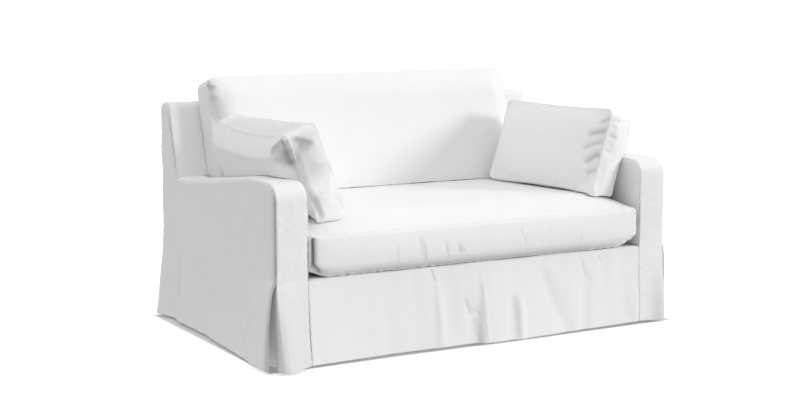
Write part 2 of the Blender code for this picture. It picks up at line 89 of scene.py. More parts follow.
BACK_LEFT = -0.7
BACK_RIGHT = 0.66
BACK_FOOT = 0.5015
BACK_HEIGHT = 0.42
BACK_BOXING = 0.096
BACK_FOOT_DEPTH = 0.14
BACK_FRONT = 0.147
BACK_ROLL_END = 0.095
BACK_ROLL_TOP = 0.1
BACK_ROLL_FOOT = 0.03
BACK_ROUND = (0.005, 0.005, 0.005)
BACK_END_PUFF = 0.014
BACK_EAR = 0.01
BACK_TOP_PUFF = 0.007
BACK_REST_Y = 0.72

PILLOW_ROUND = (0.004, 0.004, 0.004)
PILLOW_SHOW_CROWN = 0.036
PILLOW_LOW_CROWN = 0.03
PILLOW_HIGH_CROWN = 0.066
PILLOW_CROWN_RUN = 0.07
PILLOW_CROWN_LOW = 1.0
PILLOW_REST = 0.002
PILLOW_BELLY_FROM = 0.75
PILLOW_SHOW_ROLL = 0.15
PILLOW_REAR_ROLL = 0.075
PILLOW_BACK_ROLL = 0.04
PILLOW_PUFF = 0.005
PILLOW_EDGE_DRAW = 0.007
PILLOW_END_DRAW = 0.004
PILLOW_EAR = 0.007


# The columns of each table. A flap's lines are uprights of skirt beside a pleat, outwards from the
# arm's inner seam. A crease runs between two places in a piece's own two flat directions: depth is
# that of a soft trough, or of a ridge if negative; shade is painted shade, how much darker the
# cloth's colour is made along it where its fold would lie in shade, from 0 to 1; lap lifts the side
# that is left of its direction
ArmTop = namedtuple("ArmTop", "y z")
Flap = namedtuple("Flap", "across behind forward outward")
SideLine = namedtuple("SideLine", "y outward forward")
HemLine = namedtuple("HemLine", "x forward")
Fold = namedtuple("Fold", "top_x hem_x top_z half_width rise")
UnderlayLine = namedtuple("UnderlayLine", "top_side top_face hem_side hem_face")
Crease = namedtuple("Crease", "a0 b0 a1 b1 width depth shade lap", defaults=(0.0, 0.0))

# Unevenness is in waves of a height and a length, their points stretched before they are placed
Wave = namedtuple("Wave", "height length seed stretch", defaults=(1,))
# A filling presses and draws up the seams for some frames, and moves a point by so much at most
Filling = namedtuple("Filling", "pressure gather frames most")
# A cushion is a block of points gathered as `fine` says at its seams, boxed across `axis` and
# sewn on the sides in `ways`
Cushion = namedtuple(
    "Cushion",
    "name half corner step fine shape axis ways material slot seed fill filling creases",
)
# A pillow's upper seams sag, and its upper rear corner is pinched
Pillow = namedtuple(
    "Pillow", "name side middle yaw lean dip length height thickness sag pinch"
)


def table(kind, *rows):
    """Rows of a table, each with its columns' names."""
    return [kind(*row) for row in rows]


ARM_TOP = table(
    ArmTop,
    (ARM_CORNER, 0.633),
    (0.15, 0.635),
    (0.28, 0.628),
    (0.4, 0.611),
    (0.53, 0.595),
    (0.67, 0.58),
    (0.79, 0.565),
    (0.9, 0.566),
)

LEFT_FLAP = table(
    Flap,
    (0, 0, 0.028, 0),
    (0.25, 0, 0.046, 0.002),
    (0.47, 0, 0.065, 0.006),
    (0.68, 0, 0.079, 0.008),
    (0.87, 0, 0.083, 0.008),
    (1, 0, 0.077, 0.008),
    (1, 0.004, 0.056, 0.016),
    (1, 0.008, 0.02, 0.013),
)

RIGHT_FLAP = table(
    Flap,
    (0, 0, 0.015, 0),
    (0.25, 0, 0.015, 0),
    (0.47, 0, 0.018, -0.004),
    (0.68, 0, 0.026, -0.012),
    (0.87, 0, 0.038, -0.021),
    (1, 0, 0.046, -0.025),
    (1, 0.004, 0.045, -0.02),
    (1, 0.008, 0.015, -0.019),
)

BACK_FLAP = table(
    Flap,
    (0, 0, 0.01, 0),
    (0.25, 0, 0.014, 0),
    (0.47, 0, 0.02, 0.001),
    (0.68, 0, 0.026, 0.002),
    (0.87, 0, 0.03, 0.003),
    (1, 0, 0.029, 0.003),
    (1, 0.004, 0.018, 0.005),
    (1, 0.008, 0, 0.003),
)

LEFT_SIDE = table(
    SideLine,
    (0, 0.053, 0.04),
    (0.06, 0.051, 0.022),
    (0.18, 0.043, 0),
    (0.333, 0.032, 0),
    (0.654, 0.011, 0),
    (0.81, 0.017, 0),
    (0.945, 0.008, 0),
    (DEPTH, 0.029, -0.004),
)

RIGHT_SIDE = table(
    SideLine,
    (0, 0.018, 0),
    (0.18, 0.022, 0),
    (0.5, 0.018, 0),
    (0.8, 0.013, 0),
    (DEPTH, 0.027, -0.004),
)

FRONT_HEM = table(
    HemLine,
    (-ARM_INNER, 0.028),
    (-0.53, 0.018),
    (-0.355, 0.011),
    (-0.19, 0.014),
    (-0.04, 0.021),
    (-0.028, 0.023),
    (-0.014, 0.037),
    (0, 0.038),
    (0.133, 0.041),
    (0.318, 0.034),
    (0.52, 0.022),
    (ARM_INNER, 0.015),
)

FRONT_FOLDS = table(
    Fold,
    (-0.21, -0.18, 0.29, 0.02, 0.004),
    (-0.06, -0.045, 0.2, 0.034, -0.005),
    (0.15, 0.145, 0.2, 0.018, 0.007),
    (0.115, 0.105, 0.2, 0.024, -0.0045),
    (0.265, 0.35, 0.28, 0.036, -0.005),
    (0.46, 0.44, 0.27, 0.025, -0.004),
)

UNDERLAY = table(
    UnderlayLine,
    (0.095, 0.0027, 0.095, 0.004),
    (0.05, 0.0027, 0.05, 0.004),
    (0.014, 0.0045, 0.014, 0.008),
    (0.004, 0.015, 0.002, 0.02),
    (0.0027, 0.05, -0.006, 0.05),
    (0.0027, 0.095, -0.006, 0.095),
)

LEFT_MIDDLE = (-0.62, 0.403, 0.655)
RIGHT_MIDDLE = (0.606, 0.398, 0.6495)
PILLOWS = (
    Pillow("pillow_left", -1, LEFT_MIDDLE, 2.0, 20.6, 0.3, 0.662, 0.339, 0.116, 0.02, 0.35),
    Pillow("pillow_right", 1, RIGHT_MIDDLE, 7.6, 18.4, 0.3, 0.615, 0.341, 0.112, 0.004, 0.0),
)

# Seams: how round the cloth turns into them, how deep and wide their dip and groove are, how far
# over the pleats they fade in, and the cord on a cushion's
SEAM_DEPTH = 0.0014
SEAM_WIDTH = 0.0026
SHOULDER_FRONT = 0.007
SHOULDER_REAR = 0.016
SHOULDER_GROWS = 0.1
SHOULDER_GROWTH_RUN = 0.35
SHOULDER_RUN = 0.05
SHOULDER_INNER = 0.006
SHOULDER_FOLD = 0.002
SEAM_CORD = 0.0018
SEAM_LINES = (0.0, 0.0025, 0.005, 0.009)
SEAT_LINES = (0.0, 0.0025, 0.0055, 0.009, 0.012, 0.0145, 0.017, 0.0195, 0.022, 0.026, 0.033)
WING_TUCK = 0.006
SEAM_FADE = 0.03
GROOVE_AT = 0.0025
GROOVE_WIDTH = 0.0022
GROOVE_DEPTH = 0.0016
ARM_CLEAR = 0.003
ARM_TOP_CLEAR = 0.005
CREASE_FADE = 0.3
CREASE_END = 0.35
LAP_RISE = 2.3

UNEVEN = {
    "arm_band": (Wave(0.0009, 0.11, 3, (1, 0.6, 0.6)), Wave(0.0004, 0.035, 4)),
    "side_panel": (Wave(0.0006, 0.07, 2, (1, 0.5)),),
    "side_broad": (Wave(0.0022, 0.3, 1),),
    "side_skirt": (Wave(0.003, 0.12, 3, (1, 0.12)),),
    "inner_arm": (Wave(0.0012, 0.16, 0),),
    "front_panel": (Wave(0.0007, 0.08, 32, (1, 1, 0.5)),),
    "deck": (Wave(-0.0008, 0.2, 41),),
    "inside_back": (Wave(0.0015, 0.18, 52),),
    "outside_back": (Wave(0.0025, 0.34, 62), Wave(0.0008, 0.09, 63)),
    "outside_skirt": (Wave(0.006, 0.2, 64, (1, 0, 0.1)),),
    "cushion": (Wave(0.0004, 0.12, 0), Wave(0.0002, 0.035, 1)),
}

# How a mesh's points gather at a seam, at a skirt's edge and at a path's ends
FINE_EDGE = (0.0, 0.0015, 0.0035)
FINE_END = (0.0, 0.003)

# The cloth's looks: the size of its threads and patches, the height of its bumps, and its tones,
# with painted shade for its folds and the left skirt, and a lighter white for the pillows that is
# painted light
CLOTH_LOOKS = {
    "Roughness": 0.92,
    "Specular IOR Level": 0.25,
    "Sheen Weight": 0.12,
    "Sheen Roughness": 0.6,
}
THREAD_PITCH = 0.0009
SLUB_SCALE = 420
CRUMPLE_SCALE = 38
PATCH_SCALE = 5
THREAD_BUMP = 0.00018
SLUB_BUMP = 0.0001
CRUMPLE_BUMP = 0.0007
UNEVEN_TONE = 0.02
# Painted shade: the darkest a fold's colour is painted, as a share of the cloth's white
PAINTED_SHADE_TONE = 0.22
# Painted shade on each arm's skirt, darker towards its hem
SKIRT_PAINTED_SHADES = {"left": 0.2, "right": 0.0}
WHITE = (0.862, 0.853, 0.857)
# Painted light: the pillows' cloth is a lighter copy of the same white, brightening faces the lamps
# leave dim
PILLOW_PAINTED_LIGHT_WHITE = (0.92, 0.913, 0.916)


def unit(vectors):
    """The same vectors, 1 long."""
    return vectors / np.maximum(np.linalg.norm(vectors, axis=-1, keepdims=True), 1e-12)


def ease(t):
    """0 below 0, 1 above 1, and a smooth climb between them."""
    t = np.clip(t, 0.0, 1.0)
    return t * t * (3 - 2 * t)


def between(start, end, t):
    """The value at share t of the way from start to end."""
    return start + (end - start) * t


def above_pleats(z, run=SEAM_FADE):
    """0 below the pleats' tops, rising to 1 over a run above them."""
    return ease((z - PLEAT_TOP) / run)


def smooth_through(knots, at):
    """A smooth curve through (place, value) knots, read at each place in `at`."""
    places, values = np.array(knots, float).T
    slopes = np.gradient(values, places)
    at = np.clip(at, places[0], places[-1])
    i = np.clip(np.searchsorted(places, at) - 1, 0, len(places) - 2)
    span = places[i + 1] - places[i]
    t = (at - places[i]) / span
    start = (1 + 2 * t) * (1 - t) ** 2 * values[i] + t * (1 - t) ** 2 * span * slopes[i]
    end = t * t * (3 - 2 * t) * values[i + 1] - t * t * (1 - t) * span * slopes[i + 1]
    return start + end


def flare(z):
    """Share of the hem's swing that the skirt has reached at height z."""
    return np.clip((PLEAT_TOP - z) / (PLEAT_TOP - HEM), 0, 1) ** FLARE_POWER


def rake_y(z):
    """Where the inside back's face stands at height z."""
    return RAKE_FOOT + RAKE_SLOPE * (z - PLEAT_TOP)


SHIFT = np.array([0, -rake_y(DECK_TOP) / 2, CLOTH - DECK_TOP])


def roll(distance, radius):
    """0 at a seam, rising to 1 where the cloth has rolled out of it."""
    return np.sin(math.pi / 2 * np.clip(distance / radius, 0, 1))


def waves(points, length, seed, count=9):
    """Soft unevenness over points, about -1 to 1, its waves about `length` apart."""
    rng = np.random.default_rng(seed)
    points = np.asarray(points, float)
    total = np.zeros(points.shape[:-1])
    for _ in range(count):
        direction = rng.normal(size=points.shape[-1])
        direction *= 2 * math.pi / (length * rng.uniform(0.7, 1.6) * np.linalg.norm(direction))
        total += np.sin(points @ direction + rng.uniform(0, 2 * math.pi))
    return total / math.sqrt(count)


def uneven(points, piece, seed=0):
    """How far a piece's own unevenness raises its points."""
    points = np.asarray(points, float)
    height = np.zeros(points.shape[:-1])
    for wave in UNEVEN[piece]:
        stretched = points * np.array(wave.stretch)
        height += wave.height * waves(stretched, wave.length, seed + wave.seed)
    return height


def ripples(along, length, seed, count=8):
    """Soft unevenness along a line."""
    return waves(np.asarray(along, float)[..., None], length, seed, count)


def spaced(length, step, fine=(0.0, 0.0015, 0.0035, 0.007)):
    """Places along a length about `step` apart, closer together at both ends."""
    near = np.array(fine)
    count = max(2, int(round((length - 2 * near[-1]) / step)) + 1)
    middle = np.linspace(near[-1], length - near[-1], count)
    return np.concatenate([near[:-1], middle, length - near[:-1][::-1]])


def skirt_heights(step):
    """The heights of a skirt's rows, from the hem to just under the pleats' tops."""
    return HEM + spaced(PLEAT_TOP - HEM, step, FINE_EDGE)[:-1]


def arc(centre, radius, start, end, count):
    """Points round part of a circle in (y, z), between two angles in radians."""
    turn = np.linspace(start, end, count)
    return np.stack([centre[0] + radius * np.cos(turn), centre[1] + radius * np.sin(turn)], 1)


def dip(distance, depth=SEAM_DEPTH, width=SEAM_WIDTH):
    """The groove beside a seam, at each distance from it."""
    return -depth * np.exp(-((distance / width) ** 2))


def pucker(distance, along, seed, height=0.0007, reach=0.014):
    """Small gathers that run out from a seam."""
    fine = ripples(along, 0.016, seed) + 0.8 * ripples(along, 0.034, seed + 1)
    return height * fine * np.exp(-((distance / reach) ** 2))


def creases(a, b, rows):
    """What a table of creases adds to the height at places (a, b), and the painted shade that
    darkens its folds.
    """
    height, dark = np.zeros(np.shape(a)), np.zeros(np.shape(a))
    for row in rows:
        along = np.array([row.a1 - row.a0, row.b1 - row.b0])
        length = np.linalg.norm(along)
        along /= length
        t = ((a - row.a0) * along[0] + (b - row.b0) * along[1]) / length
        left = (-(a - row.a0) * along[1] + (b - row.b0) * along[0]) / row.width
        past = np.maximum(np.maximum(-t, t - 1), 0) * length / row.width
        ends = ease(t / CREASE_FADE + CREASE_END) * ease((1 - t) / CREASE_FADE + CREASE_END)
        near = np.exp(-(left**2) - past**2) * ends
        height += near * (row.lap * LAP_RISE * left - row.depth)
        dark += near * row.shade
    return height, dark


def grid_normals(grid, outward):
    down = np.gradient(grid, axis=0)
    across = np.gradient(grid, axis=1)
    normals = unit(np.cross(across, down))
    facing = np.sign((normals @ np.array(outward, float)).mean())
    return normals * facing


def lengths_along(grid):
    """Distances in metres over a grid, (across, down), for its weave."""
    across = np.zeros(grid.shape[:2])
    across[:, 1:] = np.cumsum(np.linalg.norm(np.diff(grid, axis=1), axis=2), axis=1)
    down = np.zeros(grid.shape[:2])
    down[1:] = np.cumsum(np.linalg.norm(np.diff(grid, axis=0), axis=2), axis=0)
    return across, down


def add_painted_shade(obj, dark):
    """Painted shade: how much darker each point of a piece's cloth is coloured where its folds
    would lie in shade.
    """
    shade = obj.data.attributes.new("shade", "FLOAT", "POINT")
    shade.data.foreach_set("value", np.clip(dark, 0, 1).astype(np.float32))


def new_object(name, data):
    obj = bpy.data.objects.new(name, data)
    bpy.context.scene.collection.objects.link(obj)
    return obj


def new_material(name, looks):
    """A material, its node tree and its shader, which has these looks."""
    material = bpy.data.materials.new(name)
    material.use_nodes = True
    shader = material.node_tree.nodes["Principled BSDF"]
    for socket, value in looks.items():
        shader.inputs[socket].default_value = value
    return material, material.node_tree, shader


def as_object(name, points, faces, weave, material):
    """A smooth mesh object in the row frame; weave has each face corner's place in the cloth."""
    mesh = bpy.data.meshes.new(name)
    mesh.from_pydata((np.asarray(points) + SHIFT).tolist(), [], faces)
    uv = mesh.uv_layers.new(name="weave")
    uv.data.foreach_set("uv", np.asarray(weave, np.float32).ravel())
    mesh.shade_smooth()
    mesh.materials.append(material)
    return new_object(name, mesh)


def add_sheet(name, grid, outward, material, height=None, keep=None, dark=None):
    """A cloth panel from a grid on its outer side, raised by `height` and thickened inwards."""
    rows, columns = grid.shape[:2]
    normals = grid_normals(grid, outward)
    across, down = lengths_along(grid)
    if height is not None:
        grid = grid + normals * height[..., None]
    r, c = np.meshgrid(np.arange(rows - 1), np.arange(columns - 1), indexing="ij")
    if keep is not None:
        chosen = keep[:-1, :-1] & keep[1:, :-1] & keep[:-1, 1:] & keep[1:, 1:]
        r, c = r[chosen], c[chosen]
    r, c = r.ravel(), c.ravel()
    first = r * columns + c
    quads = np.stack([first, first + 1, first + columns + 1, first + columns], 1)
    sample = quads[len(quads) // 2]
    points = grid.reshape(-1, 3)
    facing = np.cross(points[sample[1]] - points[sample[0]], points[sample[2]] - points[sample[0]])
    if facing @ normals.reshape(-1, 3)[sample[0]] < 0:
        quads = quads[:, ::-1]
    used, renumbered = np.unique(quads, return_inverse=True)
    renumbered = renumbered.reshape(quads.shape)
    weave = np.stack([across.ravel(), down.ravel()], 1)[quads.ravel()]
    obj = as_object(name, points[used], renumbered.tolist(), weave, material)
    # The cloth's colour takes painted shade in the panel's folds
    if dark is not None:
        add_painted_shade(obj, dark.ravel()[used])
    thicken = obj.modifiers.new("thickness", "SOLIDIFY")
    thicken.thickness = CLOTH
    thicken.offset = -1
    return obj


def add_node(tree, kind, inputs, **settings):
    """A shader node with its settings, fed with values or with other nodes' outputs."""
    node = tree.nodes.new("ShaderNode" + kind)
    for name, setting in settings.items():
        setattr(node, name, setting)
    for name, value in inputs.items():
        if isinstance(value, bpy.types.NodeSocket):
            tree.links.new(value, node.inputs[name])
        else:
            node.inputs[name].default_value = value
    return node


def cloth_material(name, colour):
    """Plain woven cotton: thread bump, faint slubs, soft crumple and a slightly uneven white, with
    painted shade in its folds from each piece's shade attribute.
    """
    material, tree, shader = new_material(name, CLOTH_LOOKS)
    weave = add_node(tree, "UVMap", {}, uv_map="weave").outputs["UV"]
    place = add_node(tree, "TexCoord", {}).outputs["Object"]
    thread = {"Scale": 2 * math.pi / (20 * THREAD_PITCH), "Distortion": 1.2, "Detail": 1.0}
    thread |= {"Detail Scale": 0.4, "Vector": weave}
    warp = add_node(tree, "TexWave", thread, bands_direction="X").outputs["Fac"]
    weft = add_node(tree, "TexWave", thread, bands_direction="Y").outputs["Fac"]
    woven = add_node(tree, "Math", {0: warp, 1: weft}, operation="MULTIPLY").outputs["Value"]
    slubs = add_node(tree, "TexNoise", {"Scale": SLUB_SCALE, "Detail": 3, "Vector": weave})
    crumple = add_node(tree, "TexNoise", {"Scale": CRUMPLE_SCALE, "Detail": 2, "Vector": place})
    bump = {"Strength": 0.6}
    for height, distance in (
        (woven, THREAD_BUMP),
        (slubs.outputs["Fac"], SLUB_BUMP),
        (crumple.outputs["Fac"], CRUMPLE_BUMP),
    ):
        bump |= {"Distance": distance, "Height": height}
        bump["Normal"] = add_node(tree, "Bump", bump).outputs["Normal"]
    tree.links.new(bump["Normal"], shader.inputs["Normal"])
    patch = add_node(tree, "TexNoise", {"Scale": PATCH_SCALE, "Detail": 3, "Vector": place})
    tones = {
        "Factor": patch.outputs["Fac"],
        "A": (*(c * (1 - UNEVEN_TONE) for c in colour), 1),
        "B": (*(min(1, c * (1 + UNEVEN_TONE / 2)) for c in colour), 1),
    }
    tone = add_node(tree, "Mix", tones, data_type="RGBA").outputs["Result"]
    # Painted shade: the colour darkens towards its darkest tone where the points' shade attribute
    # marks folds lying in shade
    shade = add_node(tree, "Attribute", {}, attribute_name="shade").outputs["Fac"]
    folds = {"Factor": shade, "A": tone, "B": (*(c * PAINTED_SHADE_TONE for c in colour), 1)}
    folded = add_node(tree, "Mix", folds, data_type="RGBA").outputs["Result"]
    tree.links.new(folded, shader.inputs["Base Color"])
    material.diffuse_color = (*colour, 1)
    return material


COVER = cloth_material("cover_cloth", WHITE)
CUSHION = cloth_material("cushion_cloth", WHITE)
PILLOW_PAINTED_LIGHT_CLOTH = cloth_material("pillow_cloth", PILLOW_PAINTED_LIGHT_WHITE)


def stands_for(obj, node, slot):
    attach(obj, "root")
    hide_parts(node)


def cover_sheet(name, grid, outward, flat, rests_on, height=None, keep=None, dark=None):
    """One panel of the cover, in place of its solid."""
    obj = add_sheet(name + "_cloth", grid, outward, COVER, height, keep, dark)
    stands_for(obj, name, "cover_cloth")
    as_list(rests_on)


# ---- the arms ----

BAND_STEP = 0.0052
BAND_LENGTH = 1.52
BAND_TURNED = 0.03
BAND_TURN_STOPS = 4  # rows under the pleat's top
BACK_TURN_STOPS = 3
BAND_CROWN = 0.002
BAND_TOP_CROWN = 0.0045
CROWN_RUN = 0.08
CROWN_GROWS = 0.05
CROWN_GROWTH_RUN = 0.3
SIDE_STEP = 0.008
BROAD_RUN = 0.1
NEAR_EDGE = (0.028, 0.021, 0.015, 0.01, 0.006, 0.003, 0.0013, 0.0)
UNDER_SEAM = 0.0002
SEAM_SHARE = 1 - math.sqrt(0.5)  # of an edge's radius, where two cloths meet on its bend
# The seventh column of these creases paints shade into the arms' seams, pleats and hollows
LEFT_CREASES = table(
    Crease,
    (0.02, 0.6, 0.018, 0.3, 0.017, 0.0048, 0.22),
    (0.006, 0.616, 0.006, 0.296, 0.013, 0.005, 0.98),
    (0.898, 0.585, 0.958, 0.8, 0.006, 0.0035, 0.32),
    (0.28, 0.628, 0.08, 0.618, 0.006, 0.0012),
    (0.53, 0.576, 0.534, 0.505, 0.008, 0.0016, 0.04),
    (0.403, 0.588, 0.408, 0.505, 0.008, 0.0014, 0.04),
    (0.885, 0.285, 0.873, 0.006, 0.018, 0, 0.05, 0.003),
    (0.12, 0.235, 0.24, 0.08, 0.026, -0.004),
    (0.002, 0.33, -0.034, -0.04, 0.02, 0, 0.45),
)
RIGHT_CREASES = table(
    Crease,
    (0.24, 0.62, 0.09, 0.612, 0.006, 0.0012),
    (0.47, 0.59, 0.478, 0.5, 0.008, 0.0014, 0.04),
    (0.7, 0.54, 0.69, 0.43, 0.012, 0.0012),
    (0.15, 0.29, 0.21, 0.06, 0.024, -0.003),
    (0.86, 0.28, 0.872, 0.01, 0.02, 0, 0.05, 0.0026),
)


def arm_corner(count):
    """The arm's rounded front corner, from its front to its top."""
    return arc((ARM_CORNER, ARM_TOP[0].z - ARM_CORNER), ARM_CORNER, math.pi, math.pi / 2, count)


def arm_path(foot, step=0.005):
    """The arm's outline, from a height on its straight front, over the corner, to the back."""
    front_z = foot + spaced(ARM_TOP[0].z - ARM_CORNER - foot, step, FINE_END)[:-2]
    front = np.stack([np.zeros(len(front_z)), front_z], 1)
    end = rake_y(ARM_TOP[-1].z) - GAP
    top_y = ARM_CORNER + spaced(end - ARM_CORNER, step * 1.2, FINE_END)[1:]
    top = np.stack([top_y, smooth_through(ARM_TOP, top_y)], 1)
    return np.concatenate([front, arm_corner(19), top])


def path_normals(path):
    """Unit normals on a (y, z) path's outer side, left of its direction."""
    along = unit(np.gradient(path, axis=0))
    return np.stack([-along[:, 1], along[:, 0]], 1)


def shoulder(y, z):
    """How round the arm's outer edge is: crisp at the front, softer towards the back."""
    further = ease((y - SHOULDER_GROWS) / SHOULDER_GROWTH_RUN)
    grown = between(SHOULDER_FRONT, SHOULDER_REAR, further)
    return between(SHOULDER_FOLD, grown, above_pleats(z, SHOULDER_RUN))


def over_edges(share, width, inner, outer):
    """(across, depth) at shares of a strip that turns down into a seam at both its edges."""
    eighth = math.pi / 4
    total = width - inner - outer + eighth * (inner + outer)
    s = share * total
    turn_in = np.clip(eighth - s / inner, 0, eighth)
    turn_out = np.clip((s - total + eighth * outer) / outer, 0, eighth)
    flat = np.clip(s, eighth * inner, total - eighth * outer) - eighth * inner + inner
    across = flat - inner * np.sin(turn_in) + outer * np.sin(turn_out)
    depth = inner * (1 - np.cos(turn_in)) + outer * (1 - np.cos(turn_out))
    return across, depth


def edge_inset(distance, radius):
    """How far a face turns in at each distance from its own sharp edge."""
    left = np.clip(radius - distance, 0, radius)
    return radius - np.sqrt(radius**2 - left**2)


def flap_row(flaps, z, x, place, depth, turned):
    """A row of skirt at height z that swings as its table says and turns in at the slit.

    It gives each point's x and how far it lies behind the panel's upright face.
    """
    swing = flare(z)
    face = [f for f in flaps if f.behind == 0]
    folded = [face[-1]] + [f for f in flaps if f.behind > 0]
    places = np.arange(len(folded)) / (len(folded) - 1)
    forward = smooth_through([(f.across, f.forward) for f in face], place)
    outward = smooth_through([(f.across, f.outward) for f in face], place)
    behind = np.interp(turned, places, [f.behind for f in folded])
    edge_forward = smooth_through([*zip(places, [f.forward for f in folded])], turned)
    edge_outward = smooth_through([*zip(places, [f.outward for f in folded])], turned)
    x = np.append(x + outward * swing, HALF_WIDTH + edge_outward * swing)
    return x, np.append(depth - forward * swing, behind * (1 - swing) - edge_forward * swing)


def add_arm_band(word, side, flaps, seed):
    """The strip from the hem up the arm's front, over its corner and back along its top."""
    share = spaced(ARM_WIDTH, BAND_STEP) / ARM_WIDTH
    turned = np.linspace(0, 1, 12)[1:]
    skirt_z = skirt_heights(BAND_STEP)
    rows = []
    for z in skirt_z:
        across, depth = over_edges(share, ARM_WIDTH, SHOULDER_FOLD, SHOULDER_FOLD)
        x, y = flap_row(flaps, z, ARM_INNER + across, share, depth, turned)
        rows.append(np.stack([side * x, y, np.full(len(x), z)], 1))
    path = arm_path(PLEAT_TOP)
    backwards = ease((path[:, 0] - CROWN_GROWS) / CROWN_GROWTH_RUN)
    crown = between(BAND_CROWN, BAND_TOP_CROWN, backwards)
    for (y, z), (ny, nz), high in zip(path, path_normals(path), crown):
        inner = between(SHOULDER_FOLD, SHOULDER_INNER, above_pleats(z))
        across, depth = over_edges(share, ARM_WIDTH, inner, shoulder(y, z))
        lift = high * above_pleats(z, CROWN_RUN) * (1 - (2 * share - 1) ** 2) - depth
        x = np.append(ARM_INNER + across, np.full(len(turned), HALF_WIDTH))
        lift = np.append(lift, np.full(len(turned), lift[-1]))
        rows.append(np.stack([side * x, y + ny * lift, z + nz * lift], 1))
    grid = np.array(rows)
    keep = np.ones(grid.shape[:2], bool)
    keep[:, len(share):] = (np.arange(len(rows)) < len(skirt_z) - BAND_TURN_STOPS)[:, None]
    across, along = lengths_along(grid)
    edge = np.minimum(share, 1 - share) * ARM_WIDTH
    edge = np.append(edge, np.full(len(turned), 0.02))[None, :] + 0 * across
    inner_seam = (np.append(share, np.ones(len(turned))) < 0.5)[None, :]
    seamed = np.where(inner_seam, 1.0, above_pleats(grid[..., 2] + SEAM_FADE))
    height = (dip(edge) + pucker(edge, along, seed)) * seamed
    height += uneven(grid, "arm_band", seed)
    # Painted shade on the left skirt, darker towards its hem
    cover_sheet(
        f"arm_band_{word}",
        grid,
        (0, -1, 0.2),
        flat=(ARM_WIDTH + 2 * BAND_TURNED, BAND_LENGTH),
        rests_on=["sofa arm"],
        height=height,
        keep=keep,
        dark=SKIRT_PAINTED_SHADES[word] * flare(grid[..., 2]) ** 0.5,
    )


def back_corners(front_count, rear_count):
    """The rounded front and rear edges along the top of the back."""
    setback = BACK_CORNER * math.tan((math.pi / 2 - RAKE_ANGLE) / 2)
    level, upright = BACK_TOP - BACK_CORNER, math.pi / 2
    front = (rake_y(BACK_TOP) + setback, level)
    rear = (DEPTH - BACK_CORNER, level)
    return (
        arc(front, BACK_CORNER, math.pi - RAKE_ANGLE, upright, front_count),
        arc(rear, BACK_CORNER, upright, 0, rear_count),
    )


def side_outline():
    """The outer side panel's sharp outline, from its front foot over its top to its rear foot."""
    top_y = np.linspace(ARM_CORNER, rake_y(ARM_TOP[-1].z), 130)[1:]
    top = np.stack([top_y, smooth_through(ARM_TOP, top_y)], 1)
    front, rear = back_corners(9, 15)
    face_z = np.linspace(ARM_TOP[-1].z, front[0][1], 34)[1:-1]
    face = np.stack([rake_y(face_z), face_z], 1)
    foot, last = [[0, PLEAT_TOP]], [[DEPTH, PLEAT_TOP]]
    return np.concatenate([foot, arm_corner(33), top, face, front, rear, last])


def distance_to_path(points, path):
    """Distances of (y, z) points from a polyline."""
    best = np.full(points.shape[:-1], np.inf)
    for start, end in zip(path[:-1], path[1:]):
        along = end - start
        t = np.clip(((points - start) @ along) / max(along @ along, 1e-12), 0, 1)
        best = np.minimum(best, np.linalg.norm(points - start - t[..., None] * along, axis=-1))
    return best


def add_side_panel(word, side, lines, marks, seed):
    """The outer arm and the end of the back in one panel, from the hem to their tops."""
    sharp = side_outline()
    inside = sharp[1:-1]
    radius = shoulder(inside[:, 0], inside[:, 1])
    top = inside - path_normals(inside) * (radius * SEAM_SHARE + UNDER_SEAM)[:, None]
    top = top[np.argsort(top[:, 0], kind="stable")]
    top = top[np.append(True, np.diff(top[:, 0]) > 0.0008)]
    outward = smooth_through([(line.y, line.outward) for line in lines], top[:, 0])
    forward = smooth_through([(line.y, line.forward) for line in lines], top[:, 0])
    sooner = 1 - EDGE_FLARE * (1 - ease(top[:, 0] / EDGE_FLARE_RUN))
    rows = [
        np.stack([outward * flare(z) ** sooner, top[:, 0] - forward * flare(z), 0 * outward + z], 1)
        for z in skirt_heights(SIDE_STEP)
    ]
    below = np.linspace(1, 0, 44)[:, None] * (top[:, 1] - PLEAT_TOP - NEAR_EDGE[0]) + NEAR_EDGE[0]
    below = np.concatenate([below, np.array(NEAR_EDGE)[1:, None] + 0 * top[:, 1]])
    rows += [np.stack([0 * down, top[:, 0], top[:, 1] - down], 1) for down in below]
    grid = np.array(rows)
    y, z = grid[..., 1], grid[..., 2]
    edge = distance_to_path(grid[..., 1:], sharp)
    radius = shoulder(y, z)
    grid[..., 0] -= edge_inset(edge, radius) * above_pleats(z + 0.02)
    seam = np.maximum(edge - radius * SEAM_SHARE, 0)
    height = dip(seam) + pucker(seam, y + z, seed, height=0.0008, reach=0.018)
    height *= above_pleats(z)
    height += uneven(grid[..., 1:], "side_broad", seed) * ease(edge / BROAD_RUN)
    height += uneven(grid[..., 1:], "side_panel", seed)
    height += uneven(grid[..., 1:], "side_skirt", seed) * flare(z)
    lift, dark = creases(y, z, marks)
    grid[..., 0] = side * (grid[..., 0] + HALF_WIDTH)
    cover_sheet(
        f"side_panel_{word}",
        grid,
        (side, 0, 0),
        flat=(DEPTH + 0.01, BACK_TOP + 0.01),
        rests_on=["sofa arm", "sofa back"],
        height=height + lift,
        dark=dark,
    )


